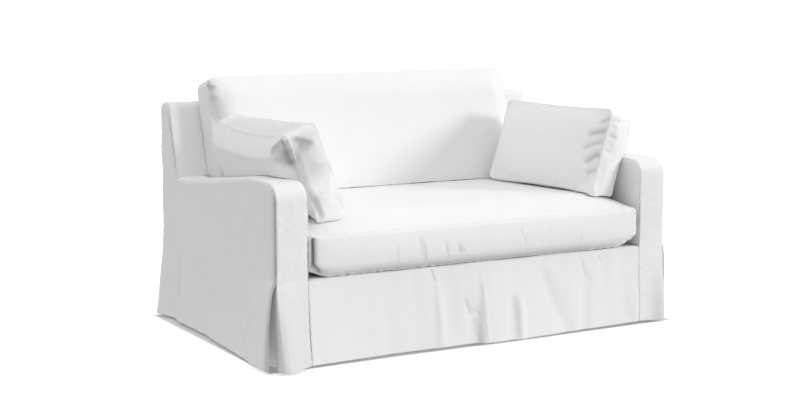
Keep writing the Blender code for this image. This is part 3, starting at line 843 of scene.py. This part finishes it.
def add_inner_arm(word, side, seed):
    """The panel between the seat and the arm's top, back to the raked inside back."""
    foot = DECK_TOP - CLOTH
    path = arm_path(foot, 0.009)
    turn = SHOULDER_INNER * SEAM_SHARE + UNDER_SEAM
    top = path - path_normals(path) * turn
    rows = []
    for share in np.linspace(0, 1, 30):
        z = foot + share * (top[:, 1] - foot)
        reach = (rake_y(z) - GAP - CLOTH) / (rake_y(top[:, 1]) - GAP - CLOTH)
        rows.append(np.stack([np.zeros(len(z)), turn + (top[:, 0] - turn) * reach, z], 1))
    grid = np.array(rows)
    edge = distance_to_path(grid[..., 1:], path)
    grid[..., 0] = side * (ARM_INNER + edge_inset(edge, SHOULDER_INNER))
    height = dip(np.maximum(edge - turn, 0)) + uneven(grid[..., 1:], "inner_arm", seed)
    flat, name = (0.89, 0.335), f"inner_arm_{word}"
    cover_sheet(name, grid, (-side, 0, 0), flat, ["sofa arm"], height)


# ---- the front ----

FRONT_STEP = (0.0048, 0.005)
DECK_SINK = 0.0008

# The seventh column paints shade into the front panel's darts, folds and creases
FRONT_CREASES = table(
    Crease,
    (-0.222, 0.299, -0.205, 0.25, 0.004, 0.0022, 0.3, 0.001),
    (-0.205, 0.255, -0.19, 0.06, 0.014, 0, 0.04, 0.0012),
    (-0.012, 0.235, -0.004, 0.006, 0.008, 0, 0.1, 0.0016),
    (-0.082, 0.178, -0.06, 0.118, 0.007, 0.0016, 0.14, 0.0008),
    (-0.062, 0.14, -0.022, 0.118, 0.005, 0.0014, 0.14),
    (-0.04, 0.11, -0.03, 0.006, 0.012, 0, 0.12),
    (0.128, 0.18, 0.132, 0.01, 0.015, 0, 0.07, 0.0008),
    (0.255, 0.262, 0.33, 0.065, 0.022, 0.0012, 0.08),
    (0.436, 0.277, 0.452, 0.205, 0.009, 0.002, 0.1, 0.0006),
    (0.452, 0.215, 0.478, 0.188, 0.009, 0.0012, 0.06),
    (0.508, 0.28, 0.53, 0.258, 0.007, 0.0014, 0.06, 0.0006),
    (-0.14, 0.29, -0.13, 0.03, 0.03, 0.0012, 0.03),
    (0.64, 0.12, 0.69, 0.01, 0.03, 0, 0.06),
)


def front_forward(x, z):
    """How far the front panel stands in front of the arms' faces."""
    swing = smooth_through(FRONT_HEM, x) * flare(z)
    for fold in FRONT_FOLDS:
        middle = between(fold.top_x, fold.hem_x, flare(z))
        shown = ease((fold.top_z - z) / (fold.top_z - HEM) * 2)
        swing = swing + fold.rise * shown * np.exp(-(((x - middle) / fold.half_width) ** 2))
    return swing


def add_front_panel():
    edge = ARM_INNER - GAP
    x = -edge + spaced(2 * edge, FRONT_STEP[0])
    z = HEM + spaced(DECK_TOP - CLOTH - GAP - HEM, FRONT_STEP[1], FINE_EDGE)
    across, up = np.meshgrid(x, z)
    grid = np.stack([across, -front_forward(across, up), up], 2)
    distance = edge - np.abs(across)
    lift, dark = creases(across, up, FRONT_CREASES)
    height = dip(distance) + pucker(distance, up + across, 31) + lift
    height += uneven(grid, "front_panel")
    flat, rests_on = (2 * edge, 0.297), ["sofa front rail"]
    cover_sheet("front_panel", grid, (0, -1, 0), flat, rests_on, height, dark=dark)


def add_deck():
    edge = ARM_INNER - GAP
    x = edge * np.linspace(-1, 1, 60)
    y = np.linspace(0, rake_y(DECK_TOP) - GAP - RAKE_SLOPE * CLOTH, 34)
    across, along = np.meshgrid(x, y)
    grid = np.stack([across, along, np.full(across.shape, DECK_TOP)], 2)
    height = uneven(grid, "deck") - DECK_SINK
    cover_sheet("deck", grid, (0, 0, 1), (2 * edge, 0.809), ["sofa seat platform"], height)


# ---- the back ----


def back_path(step=0.01):
    """(y, z) up the raked face from the deck, over the top and down to the rear edge's start."""
    front, rear = back_corners(11, 13)
    face_z = np.arange(DECK_TOP - CLOTH, front[0][1] - step / 2, step)
    return np.concatenate([np.stack([rake_y(face_z), face_z], 1), front, rear])


def add_inside_back():
    """The raked face behind the cushions, which widens above the arms and wraps the top."""
    path = back_path()
    width = 2 * HALF_WIDTH
    share = spaced(width, 0.014) / width
    rows = []
    for (y, z), (ny, nz) in zip(path, path_normals(path)):
        radius = shoulder(y, z) if z > ARM_TOP[-1].z else SHOULDER_FOLD
        across, depth = over_edges(share, width, radius, radius)
        rows.append(np.stack([across - HALF_WIDTH, y - ny * depth, z - nz * depth], 1))
    grid = np.array(rows)
    low = grid[..., 2] < ARM_TOP[-1].z - WING_TUCK
    keep = ~(low & (np.abs(grid[..., 0]) > ARM_INNER - GAP))
    edge = np.minimum(share, 1 - share)[None, :] * width + 0 * grid[..., 0]
    height = dip(edge) + pucker(edge, grid[..., 1] + grid[..., 2], 51)
    height += uneven(grid, "inside_back")
    flat, rests_on = (width, 0.72), ["sofa back"]
    cover_sheet("inside_back", grid, (0, -1, 0.6), flat, rests_on, height, keep)


def add_outside_back():
    """The rear panel from the hem to the back's upper edge, with a flap at each pleat."""
    top = BACK_TOP - BACK_CORNER - 3 * GAP
    turned = np.linspace(0, 1, 8)[1:]
    half = spaced(HALF_WIDTH, 0.011)[3:] / HALF_WIDTH
    skirt_z = skirt_heights(0.01)
    rows = []
    for z in np.append(skirt_z, PLEAT_TOP + spaced(top - PLEAT_TOP, 0.013)):
        radius = float(shoulder(DEPTH, z))
        across, depth = over_edges((1 + half) / 2, 2 * HALF_WIDTH, radius, radius)
        place = np.clip((across - HALF_WIDTH - ARM_INNER) / ARM_WIDTH, 0, 1)
        x, within = flap_row(BACK_FLAP, z, across - HALF_WIDTH, place, depth, turned)
        right = np.stack([x, DEPTH - within, np.full(len(x), z)], 1)
        rows.append(np.concatenate([right[::-1] * (-1, 1, 1), right]))
    grid = np.array(rows)
    columns = np.arange(grid.shape[1])
    is_turned = (columns < len(turned)) | (columns >= len(columns) - len(turned))
    keep = np.ones(grid.shape[:2], bool)
    keep[:, is_turned] = (np.arange(len(rows)) < len(skirt_z) - BACK_TURN_STOPS)[:, None]
    x, z = grid[..., 0], grid[..., 2]
    edge = np.minimum(HALF_WIDTH - np.abs(x), 1)
    height = dip(np.maximum(edge - 0.005, 0)) * above_pleats(z) + dip(top - z)
    height += uneven(grid, "outside_back") + uneven(grid, "outside_skirt") * flare(z)
    flat, rests_on = (2 * HALF_WIDTH + 0.12, 0.815), ["sofa back"]
    cover_sheet("outside_back", grid, (0, 1, 0), flat, rests_on, height, keep)


def add_underlay(name, side, at_front):
    """The hidden fold of a kick pleat, round the corner behind its opening."""
    places = np.arange(len(UNDERLAY))
    fine = np.linspace(0, places[-1], 31)
    top_side, top_face, hem_side, hem_face = (
        smooth_through([*zip(places, column)], fine) for column in np.array(UNDERLAY).T
    )
    rows = []
    for z in np.linspace(HEM, PLEAT_TOP - CLOTH, 42):
        swing = float(flare(z))
        inwards = between(top_side, hem_side, swing)
        behind = between(top_face, hem_face, swing)
        y = behind if at_front else DEPTH - behind
        rows.append(np.stack([side * (HALF_WIDTH - inwards), y, np.full(len(fine), z)], 1))
    outward = (side, -1 if at_front else 1, 0)
    cover_sheet(name, np.array(rows), outward, flat=(0.19, 0.29), rests_on=["sofa corner"])


# ---- the cushions ----


def block_mesh(half, corner, step, fine, shape):
    """Points, faces, weave places, shares and edges of a block with rounded edges."""
    half, corner = np.array(half), np.array(corner)
    lines = [spaced(2 * h, step, fine) - h for h in half]
    cells = np.array([len(line) - 1 for line in lines])
    places = [np.arange(n + 1) for n in cells]
    keys = np.stack(np.meshgrid(*places, indexing="ij"), -1).reshape(-1, 3)
    on_skin = ((keys == 0) | (keys == cells)).any(axis=1)
    index = np.full(len(keys), -1)
    index[on_skin] = np.arange(on_skin.sum())
    index = index.reshape([n + 1 for n in cells])
    keys = keys[on_skin]
    points = np.stack([line[keys[:, axis]] for axis, line in enumerate(lines)], 1)
    share = points / half
    inner = np.clip(points, corner - half, half - corner)
    reach = unit((points - inner) / corner)
    faces, weave = [], []
    for axis in range(3):
        u, v = (axis + 1) % 3, (axis + 2) % 3
        a, b = np.meshgrid(np.arange(cells[u]), np.arange(cells[v]), indexing="ij")
        for level in (0, cells[axis]):
            ring = ((0, 0), (1, 0), (1, 1), (0, 1))
            corners, places = [], []
            for du, dv in ring if level else ring[::-1]:
                key = [None] * 3
                key[axis] = np.full(a.shape, level)
                key[u], key[v] = a + du, b + dv
                corners.append(index[tuple(key)].ravel())
                places.append(np.stack([lines[u][key[u]].ravel(), lines[v][key[v]].ravel()], 1))
            faces.append(np.stack(corners, 1))
            weave.append(np.stack(places, 1).reshape(-1, 2))
    seams = (np.abs(np.abs(share) - 1) < 1e-9).sum(axis=1)
    faces, weave = np.concatenate(faces), np.concatenate(weave)
    return shape(share, inner + corner * reach), faces.tolist(), weave, share, seams


def inflate(obj, seams, filling):
    """Fills a cushion: its cloth swells under pressure while its seams draw up a little."""
    start = read_vectors(obj)
    group = obj.vertex_groups.new(name="seams")
    group.add([int(i) for i in np.flatnonzero(seams >= 2)], 1.0, "REPLACE")
    cloth = obj.modifiers.new("fill", "CLOTH")
    for name, value in FILL_SETTINGS.items():
        setattr(cloth.settings, name, value)
    cloth.settings.uniform_pressure_force = filling.pressure
    cloth.settings.vertex_group_shrink = group.name
    cloth.settings.shrink_max = filling.gather
    cloth.settings.effector_weights.gravity = 0
    cloth.collision_settings.use_collision = False
    cloth.point_cache.frame_end = filling.frames
    for step in range(1, filling.frames + 1):
        bpy.context.scene.frame_set(step)
    moved = read_vectors(obj.evaluated_get(bpy.context.evaluated_depsgraph_get())) - start
    obj.modifiers.remove(cloth)
    bpy.context.scene.frame_set(1)
    far = np.linalg.norm(moved, axis=1, keepdims=True)
    kept = np.tanh(far / filling.most) * filling.most
    set_points(obj, start + moved * kept / np.maximum(far, 1e-9))


def seat_shape(share, points):
    across, along, up = share.T
    x, y, z = points.T
    half_depth = (SEAT_REAR - SEAT_FRONT) / 2
    y = y + (SEAT_FRONT + SEAT_REAR) / 2
    z = z + (DECK_TOP + GAP + SEAT_EDGE_TOP) / 2
    rear = 1 - SEAT_REAR_DROP * (1 - ease((SEAT_REAR - y) / SEAT_REAR_RUN))
    crown = (seat_top(x, y) - SEAT_EDGE_TOP) * rear * ease(up)
    to_end = ease((np.abs(x) - SEAT_HALF_WIDTH + SEAT_CORNER_RUN) / SEAT_CORNER_RUN)
    lift = SEAT_CORNER_LIFT * to_end * ease(-up) * ease(-2 * along - 1)
    at_front = ease(-4 * along - 3)
    bulge = SEAT_FRONT_BULGE * (1 - np.abs(across) ** 6) * (1 - up**2) * at_front
    tuck = np.clip((SEAT_TUCK_FROM - z) / (SEAT_TUCK_FROM - DECK_TOP), 0, 1)
    y = y - bulge + SEAT_TUCK * tuck**1.2 * ease((SEAT_FRONT + half_depth - y) / half_depth)
    x = x * (1 - SEAT_RIGHT_DRAW * ease(across))
    return np.stack([x, y, z + crown + lift], 1)


def seat_top(x, y):
    """Height of the seat cushion's top, away from its own edges."""
    rise = ease((y - SEAT_FRONT) / SEAT_CROWN_RUN)
    pressed = 1 - SEAT_BACK_PRESS * ease((y - SEAT_FRONT) / (SEAT_REAR - SEAT_FRONT))
    level = 1 - SEAT_END_DROP * (x / SEAT_HALF_WIDTH) ** 8
    return SEAT_EDGE_TOP + SEAT_CROWN * level * rise * pressed


def back_shape(share, points):
    across, through, up = share.T
    x, y, z = points.T
    half_width = (BACK_RIGHT - BACK_LEFT) / 2
    height = z / BACK_HEIGHT + 0.5
    boxing = between(BACK_BOXING, BACK_FOOT_DEPTH, (1 - height) ** 2)
    puff = roll(half_width - np.abs(x), BACK_ROLL_END) * roll(BACK_HEIGHT / 2 - z, BACK_ROLL_TOP)
    puff = puff * roll(z + BACK_HEIGHT / 2, BACK_ROLL_FOOT) * ease(through)
    depth = (y / BACK_BOXING + 0.5) * boxing + (BACK_FRONT - boxing) * puff
    swell = 1 + BACK_END_PUFF / half_width * (1 - through**2) * (1 - up**4) * ease(up + 0.5)
    ear = BACK_EAR * ease(16 * np.abs(across) - 15) * ease(6 * up - 5)
    x = (BACK_LEFT + BACK_RIGHT) / 2 + x * swell - np.sign(across) * ear
    top = BACK_TOP_PUFF * (1 - through**2) * (1 - across**6) * np.maximum(up, 0) ** 20 - ear
    climb = height * BACK_HEIGHT / math.cos(RAKE_ANGLE) + top - (1 - height) * depth * RAKE_SLOPE
    sag = (BACK_FOOT - seat_top(x, BACK_REST_Y) - 3 * GAP) * (1 - height) ** 3
    y = climb * math.sin(RAKE_ANGLE) - depth * math.cos(RAKE_ANGLE) - RAKE_SLOPE * sag
    z = climb * math.cos(RAKE_ANGLE) + depth * math.sin(RAKE_ANGLE) - sag
    return np.stack([x, rake_y(BACK_FOOT) - 2 * GAP + y, BACK_FOOT + z], 1)


def pillow_axes(pillow):
    yaw, lean, dip_angle = (math.radians(turn) for turn in (pillow.yaw, pillow.lean, pillow.dip))
    level = np.array([pillow.side * math.sin(yaw), -math.cos(yaw), 0])
    forward = level * math.cos(dip_angle) - np.array([0, 0, math.sin(dip_angle)])
    to_arm = np.array([pillow.side * math.cos(yaw), math.sin(yaw), 0])
    upright = pillow.side * np.cross(forward, to_arm)
    rearward = math.cos(lean) * to_arm - math.sin(lean) * upright
    upward = math.sin(lean) * to_arm + math.cos(lean) * upright
    return forward, rearward, upward


def pillow_shape(pillow):
    axes = np.array(pillow_axes(pillow))

    def hung(share, points):
        along, through, up = share.T
        a, c, b = points.T
        end, edge = pillow.length / 2 - np.abs(a), pillow.height / 2 - np.abs(b)
        flat = np.array(pillow.middle) + np.stack([a, c, b], 1) @ axes
        over_arm = flat[:, 2] - smooth_through(ARM_TOP, flat[:, 1])
        high = ease(over_arm / PILLOW_CROWN_RUN + PILLOW_CROWN_LOW)
        high = between(PILLOW_LOW_CROWN, PILLOW_HIGH_CROWN, high)
        end_roll = np.where(a < 0, PILLOW_BACK_ROLL, PILLOW_REAR_ROLL)
        rear = high * roll(end, end_roll) * roll(edge, PILLOW_REAR_ROLL)
        show = PILLOW_SHOW_CROWN * roll(end, PILLOW_SHOW_ROLL) * roll(edge, PILLOW_SHOW_ROLL)
        pinched = ease(-along) * ease((up + 0.4) / 1.4) * (1 - through) / 2
        c = c + pillow.pinch * pillow.thickness * pinched
        crown = rear * ease(through) - show * ease(-through)
        boxing = PILLOW_PUFF * (1 - through**2)
        b = b + boxing * (1 - along**4) * np.maximum(up, 0) ** 20
        b = b - np.where(up > 0, pillow.sag, PILLOW_EDGE_DRAW) * up * (1 - along**2)
        a = a + 2 * boxing * (1 - up**4) * np.sign(along) * np.abs(along) ** 20
        a = a - PILLOW_END_DRAW * along * (1 - up**2)
        ear = PILLOW_EAR * ease(14 * np.abs(along) - 13) * ease(8 * np.abs(up) - 7)
        a, b = a - np.sign(along) * ear, b - np.sign(up) * ear
        return np.array(pillow.middle) + np.stack([a, c + crown, b], 1) @ axes

    def shape(share, points):
        placed = hung(share, points)
        foot = hung(share * (1, 1, 0) - (0, 0, 1), points * (1, 1, 0) - (0, 0, pillow.height / 2))
        space = foot[:, 2] - seat_top(foot[:, 0], foot[:, 1]) - PILLOW_REST
        low = (1 - share[:, 2]) / 2
        belly = (1 - share[:, 1] ** 6) * ease((low - PILLOW_BELLY_FROM) / (1 - PILLOW_BELLY_FROM))
        placed[:, 2] -= np.minimum(space, 0) * low**3 + np.maximum(space, 0) * belly
        return placed

    return shape


def clear_of_neighbours(points):
    """A pillow's points come forward of the back cushion and out of an arm's nearer face."""
    x, y, z = points.T
    back_front = rake_y(z) - 2 * GAP - BACK_FRONT / math.cos(RAKE_ANGLE)
    y = np.minimum(y, back_front - PILLOW_REST)
    over = np.abs(x) - (ARM_INNER - ARM_CLEAR)
    under = smooth_through(ARM_TOP, y) + ARM_TOP_CLEAR - z
    inside = (over > 0) & (under > 0)
    beside = inside & (over < under)
    x = np.where(beside, np.sign(x) * (ARM_INNER - ARM_CLEAR), x)
    z = np.where(inside & ~beside, z + under, z)
    return np.stack([x, y, z], 1)


def read_vectors(obj, what="co"):
    """The places of a mesh object's points, or their normals."""
    flat = np.empty(len(obj.data.vertices) * 3, np.float32)
    obj.data.vertices.foreach_get(what, flat)
    return flat.reshape(-1, 3).astype(float)


def set_points(obj, points):
    obj.data.vertices.foreach_set("co", np.asarray(points, np.float32).ravel())
    obj.data.update()


FILL_SETTINGS = {
    "quality": 6,
    "mass": 0.25,
    "tension_stiffness": 25,
    "compression_stiffness": 25,
    "shear_stiffness": 8,
    "bending_stiffness": 0.3,
    "air_damping": 2,
    "use_pressure": True,
    "shrink_min": -0.015,
}
BACK_FILLING = Filling(2.0, 0.01, 10, 0.005)
PILLOW_FILLING = Filling(2.0, 0.012, 10, 0.005)
CORD_SIDES = 6
CORD_RAISED = 0.2
CORD_WEAVE = (0.005, 0.0014)
CREASE_CLEAR = 0.005  # how near a cushion's edge a crease fades

# The faces of a cushion: which axis of the block each looks along, which way, and its own two axes
FACES = {
    "rear": (1, 1, 0, 2),
    "show": (1, -1, 0, 2),
    "end": (0, 1, 1, 2),
    "top": (2, 1, 0, 1),
}


def face_creases(local, share, half, marks):
    """How far a cushion's creases move its points, and the painted shade that darkens them."""
    lift, dark = np.zeros(len(local)), np.zeros(len(local))
    for face, rows in marks.items():
        axis, way, a, b = FACES[face]
        on = share[:, axis] * way > 1 - 1e-9
        edge = np.minimum(half[a] - np.abs(local[on, a]), half[b] - np.abs(local[on, b]))
        height, shade = creases(local[on, a], local[on, b], rows)
        lift[on] += height * (1 - np.exp(-((edge / CREASE_CLEAR) ** 2)))
        dark[on] += shade
    return lift, dark


def add_seams(obj, share, look):
    """The sewn edges round a cushion's boxing, one or both as `ways` says, each a fine raised cord
    along the join.
    """
    filled = obj.evaluated_get(bpy.context.evaluated_depsgraph_get())
    places = read_vectors(filled)[: len(share)] - SHIFT
    normals = read_vectors(obj, "normal")
    u, v = (n for n in range(3) if n != look.axis)
    on_edge = np.maximum(np.abs(share[:, u]), np.abs(share[:, v])) > 1 - 1e-9
    points, faces, weave = [], [], []
    for way in look.ways:
        loop = np.flatnonzero((share[:, look.axis] * way > 1 - 1e-9) & on_edge)
        loop = loop[np.argsort(np.arctan2(share[loop, v], share[loop, u]))]
        path, out = places[loop], normals[loop]
        across = unit(np.cross(np.roll(path, -1, axis=0) - np.roll(path, 1, axis=0), out))
        first = len(points)
        for i, (place, n, s) in enumerate(zip(path, out, across)):
            ring, after = first + i * CORD_SIDES, first + (i + 1) % len(path) * CORD_SIDES
            for k in range(CORD_SIDES):
                turn, last = 2 * math.pi * k / CORD_SIDES, (k + 1) % CORD_SIDES
                around = n * (math.cos(turn) + CORD_RAISED) + s * math.sin(turn)
                points.append(place + SEAM_CORD * around)
                faces.append((ring + k, after + k, after + last, ring + last))
                for step, part in ((0, k), (1, k), (1, k + 1), (0, k + 1)):
                    weave.append(((i + step) * CORD_WEAVE[0], part * CORD_WEAVE[1]))
    cord = as_object(look.name + "_seams", points, faces, weave, look.material)
    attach(cord, "root")


def add_cushion(look):
    half = np.array(look.half)
    body = block_mesh(half, look.corner, look.step, look.fine, look.shape)
    points, faces, weave, share, seams = body
    obj = as_object(look.name + "_filled", points, faces, weave, look.material)
    if look.filling is not None:
        inflate(obj, seams, look.filling)
    local = share * half
    seam = np.sort(half - np.abs(local), axis=1)[:, 1]
    lift = uneven(local, "cushion", look.seed)
    lift += pucker(seam, local.sum(axis=1), look.seed + 2, height=0.001, reach=0.016)
    axis, ways = look.axis, look.ways
    sewn = 1.0 if len(ways) > 1 else ease(-2 * local[:, axis] * ways[0] / half[axis])
    lift -= sewn * GROOVE_DEPTH * np.exp(-(((seam - GROOVE_AT) / GROOVE_WIDTH) ** 2))
    marked, dark = face_creases(local, share, half, look.creases)
    # The creases' folds take painted shade in the cushion's colour
    add_painted_shade(obj, dark)
    moved = read_vectors(obj) + read_vectors(obj, "normal") * (lift + marked)[:, None] - SHIFT
    if look.name.startswith("pillow"):
        moved = clear_of_neighbours(moved)
    set_points(obj, moved + SHIFT)
    if look.filling is not None:
        smooth = obj.modifiers.new("smooth", "SUBSURF")
        smooth.levels = smooth.render_levels = 1
    add_seams(obj, share, look)
    stands_for(obj, look.name, look.slot)


# The cushions' seventh column paints shade into grooves, hollows and dog-ears, and over the left
# pillow's top and end faces
SEAT_CREASES = {
    "show": table(
        Crease,
        (-0.699, 0.1, -0.699, -0.058, 0.014, 0.016, 1),
        (-0.694, -0.04, -0.656, -0.072, 0.008, 0.008, 0.6),
        (-0.372, 0.016, -0.369, -0.044, 0.0045, 0.0012, 0.12, 0.0006),
        (-0.28, 0.046, -0.272, -0.036, 0.004, 0.0022, 0.2, 0.0014),
        (-0.264, 0.026, -0.256, -0.05, 0.0035, 0.0026, 0.32, 0.0016),
        (-0.177, 0.018, -0.164, -0.042, 0.0035, 0.0024, 0.28, 0.0012),
        (-0.124, 0.01, -0.11, -0.034, 0.0045, 0.0026, 0.3),
        (-0.11, -0.004, -0.096, -0.026, 0.004, 0.0016, 0.2),
        (0.148, 0.05, 0.15, 0.006, 0.0032, 0.001, 0.13, 0.0006),
        (0.16, 0.022, 0.168, -0.034, 0.0032, 0.0016, 0.15, 0.0006),
        (0.418, -0.004, 0.42, -0.04, 0.004, 0.0014, 0.14),
        (-0.67, -0.062, 0.64, -0.062, 0.011, 0, 0.3),
    ),
}
BACK_CREASES = {
    "rear": table(
        Crease,
        (-0.684, 0.184, -0.634, 0.16, 0.006, 0.014, 0.42, 0.003),
        (-0.69, 0.2, -0.64, 0.172, 0.018, 0.002, 0.22),
        (-0.662, 0.15, -0.64, 0.05, 0.026, 0.006, 0.2),
        (-0.668, 0.175, -0.652, 0.12, 0.012, 0.006, 0.24),
        (-0.676, 0.204, -0.664, 0.18, 0.007, 0.008, 0.25),
    ),
}
LEFT_PILLOW_CREASES = {
    "rear": table(
        Crease,
        (0.328, 0.166, 0.322, 0.058, 0.015, 0.022, 0.62),
        (0.322, 0.162, 0.262, 0.126, 0.014, 0.01, 0.42),
        (0.318, 0.13, 0.29, 0.08, 0.028, 0.006, 0.28),
        (0.326, 0.09, 0.326, -0.02, 0.008, 0.004, 0.25),
        (-0.28, 0.01, -0.29, -0.06, 0.01, -0.003),
    ),
    "top": table(Crease, (-0.3, 0, 0.3, 0, 0.09, 0, 0.16)),
    "end": table(
        Crease,
        (0.04, 0.152, -0.022, 0.108, 0.01, 0.005, 0.45),
        (0.03, 0.126, 0, 0.096, 0.013, 0.004, 0.3),
        (0.046, 0.12, 0.046, -0.12, 0.013, 0.004, 0.3),
        (0.034, -0.066, 0.03, -0.146, 0.011, 0.006, 0.38),
        (0, 0.17, 0, -0.02, 0.055, 0, 0.24),
    ),
}
RIGHT_PILLOW_CREASES = {
    "show": table(
        Crease,
        (0.304, 0.136, 0.262, 0.101, 0.008, 0.008, 0.35, 0.003),
        (0.304, 0.08, 0.234, 0.053, 0.009, 0.01, 0.42, 0.004),
        (0.302, 0.037, 0.23, -0.005, 0.008, 0.0065, 0.32, 0.003),
        (0.302, -0.009, 0.25, -0.06, 0.0095, 0.009, 0.42, 0.004),
        (0.304, -0.076, 0.263, -0.097, 0.0075, 0.007, 0.3, 0.003),
        (0.302, 0.108, 0.248, 0.077, 0.0085, -0.0045),
        (0.302, 0.016, 0.238, -0.03, 0.0085, -0.0045),
        (0.302, -0.043, 0.254, -0.08, 0.0085, -0.004),
        (0.306, 0.14, 0.306, -0.1, 0.009, 0, 0.12),
    ),
    "end": table(
        Crease,
        (-0.05, 0.067, -0.014, 0.062, 0.006, 0.006, 0.3),
        (-0.05, 0.128, -0.01, 0.133, 0.006, 0.005, 0.22),
        (-0.05, 0.01, -0.03, 0.004, 0.006, 0.003, 0.14),
    ),
}


def add_cushions():
    half = (SEAT_HALF_WIDTH, (SEAT_REAR - SEAT_FRONT) / 2, (SEAT_EDGE_TOP - DECK_TOP - GAP) / 2)
    body = (half, SEAT_ROUND, 0.0078, SEAT_LINES, seat_shape, 2, (-1,))
    cloth = (CUSHION, "cushion_cloth", 71)
    add_cushion(Cushion("seat_cushion", *body, *cloth, 0.85, None, SEAT_CREASES))
    half = ((BACK_RIGHT - BACK_LEFT) / 2, BACK_BOXING / 2, BACK_HEIGHT / 2)
    body = (half, BACK_ROUND, 0.011, SEAM_LINES, back_shape, 1, (-1, 1))
    cloth = (CUSHION, "cushion_cloth", 72)
    add_cushion(Cushion("back_cushion", *body, *cloth, 0.7, BACK_FILLING, BACK_CREASES))
    for pillow, marks in zip(PILLOWS, (LEFT_PILLOW_CREASES, RIGHT_PILLOW_CREASES)):
        half = (pillow.length / 2, pillow.thickness / 2, pillow.height / 2)
        body = (half, PILLOW_ROUND, 0.008, SEAM_LINES, pillow_shape(pillow), 1, (-1, 1))
        cloth = (PILLOW_PAINTED_LIGHT_CLOTH, "pillow_cloth", 73 + pillow.side)
        add_cushion(Cushion(pillow.name, *body, *cloth, 0.8, PILLOW_FILLING, marks))


# ---- floor, light and camera ----

CAMERA_PLACE = (-2.9554, -4.5625, 1.2725)
CAMERA_YAW = 29.74
CAMERA_PITCH = 8.05
CAMERA_LENS = 68.68
SENSOR = 36.0
SKY_LIGHT = 1.18
HORIZON_LIGHT = 0.45
HORIZON_AT = (0.48, 0.52)
GROUND_LIGHT = 0.6
KEY_LIGHT = 1.32
KEY_ANGLE = 15.0
KEY_AZIMUTH = 49.0
KEY_HEIGHT = 18.5
FLOOR_HALF = 1500.0
FLOOR_LOOKS = {
    "Base Color": (0.78, 0.78, 0.78, 1),
    "Roughness": 0.9,
    "Specular IOR Level": 0.1,
    "Emission Color": (1, 1, 1, 1),
}
FLOOR_GLOW = 0.45
FOOTPRINT = (0.858, 0.538)
FOOTPRINT_FADE = 0.008


def shade_footprint(tree, shader):
    """The floor's glow stops under the cover, so that its hem stands on a dark line."""
    place = add_node(tree, "NewGeometry", {}).outputs["Position"]
    split = add_node(tree, "SeparateXYZ", {"Vector": place})
    beyond = []
    for axis, reach, middle in zip("XY", FOOTPRINT, (0.0, DEPTH / 2 + SHIFT[1])):
        offset = add_node(tree, "Math", {0: split.outputs[axis], 1: middle}, operation="SUBTRACT")
        size = add_node(tree, "Math", {0: offset.outputs[0]}, operation="ABSOLUTE")
        past = add_node(tree, "Math", {0: size.outputs[0], 1: reach}, operation="SUBTRACT")
        beyond.append(past.outputs[0])
    furthest = add_node(tree, "Math", dict(enumerate(beyond)), operation="MAXIMUM").outputs[0]
    ends = {"From Min": 0.0, "From Max": FOOTPRINT_FADE, "To Max": FLOOR_GLOW}
    glow = add_node(tree, "MapRange", {**ends, "Value": furthest}).outputs["Result"]
    tree.links.new(glow, shader.inputs["Emission Strength"])


def add_floor():
    mesh = bpy.data.meshes.new("floor")
    ring = ((-1, -1), (1, -1), (1, 1), (-1, 1))
    corners = [(x * FLOOR_HALF, y * FLOOR_HALF, SHIFT[2]) for x, y in ring]
    mesh.from_pydata(corners, [], [(0, 1, 2, 3)])
    floor = new_object("floor", mesh)
    material, tree, shader = new_material("pale_floor", FLOOR_LOOKS)
    shade_footprint(tree, shader)
    mesh.materials.append(material)
    floor.visible_diffuse = False


def add_light():
    """A pale sky over a dim horizon and a paler ground, and one soft low key light."""
    world = bpy.data.worlds.new("studio")
    world.use_nodes = True
    tree = world.node_tree
    direction = add_node(tree, "TexCoord", {}).outputs["Generated"]
    split = add_node(tree, "SeparateXYZ", {"Vector": direction})
    climb = add_node(tree, "MapRange", {"From Min": -1, "Value": split.outputs["Z"]})
    ramp = add_node(tree, "ValToRGB", {"Fac": climb.outputs["Result"]})
    ramp.color_ramp.elements.new(HORIZON_AT[1])
    for element, place, light in (
        (ramp.color_ramp.elements[0], HORIZON_AT[0], GROUND_LIGHT),
        (ramp.color_ramp.elements[1], HORIZON_AT[1], HORIZON_LIGHT),
        (ramp.color_ramp.elements[2], 1.0, SKY_LIGHT),
    ):
        element.position = place
        element.color = (light, light, light, 1)
    background = tree.nodes["Background"]
    tree.links.new(ramp.outputs["Color"], background.inputs["Color"])
    background.inputs["Strength"].default_value = 1.0
    bpy.context.scene.world = world

    key = new_object("key", bpy.data.lights.new("key", "SUN"))
    key.data.energy = KEY_LIGHT
    key.data.angle = math.radians(KEY_ANGLE)
    key.rotation_euler = (math.radians(90 - KEY_HEIGHT), 0, math.radians(KEY_AZIMUTH))


def add_camera():
    camera = new_object("camera", bpy.data.cameras.new("camera"))
    camera.data.sensor_width = SENSOR
    camera.data.lens = CAMERA_LENS
    camera.data.clip_end = 2 * FLOOR_HALF
    camera.location = np.array(CAMERA_PLACE) + SHIFT
    camera.rotation_euler = (math.radians(90 - CAMERA_PITCH), 0, math.radians(-CAMERA_YAW))
    bpy.context.scene.camera = camera
    bpy.context.scene.view_settings.view_transform = "Standard"


def main():
    add_deck()
    add_front_panel()
    add_inside_back()
    add_outside_back()
    for word, side, flaps, lines, marks, seed in (
        ("left", -1, LEFT_FLAP, LEFT_SIDE, LEFT_CREASES, 11),
        ("right", 1, RIGHT_FLAP, RIGHT_SIDE, RIGHT_CREASES, 17),
    ):
        add_arm_band(word, side, flaps, seed)
        add_side_panel(word, side, lines, marks, 21 + side)
        add_inner_arm(word, side, 25 + side)
        add_underlay(f"underlay_front_{word}", side, True)
        add_underlay(f"underlay_back_{word}", side, False)
    add_cushions()
    add_floor()
    add_light()
    add_camera()


main()
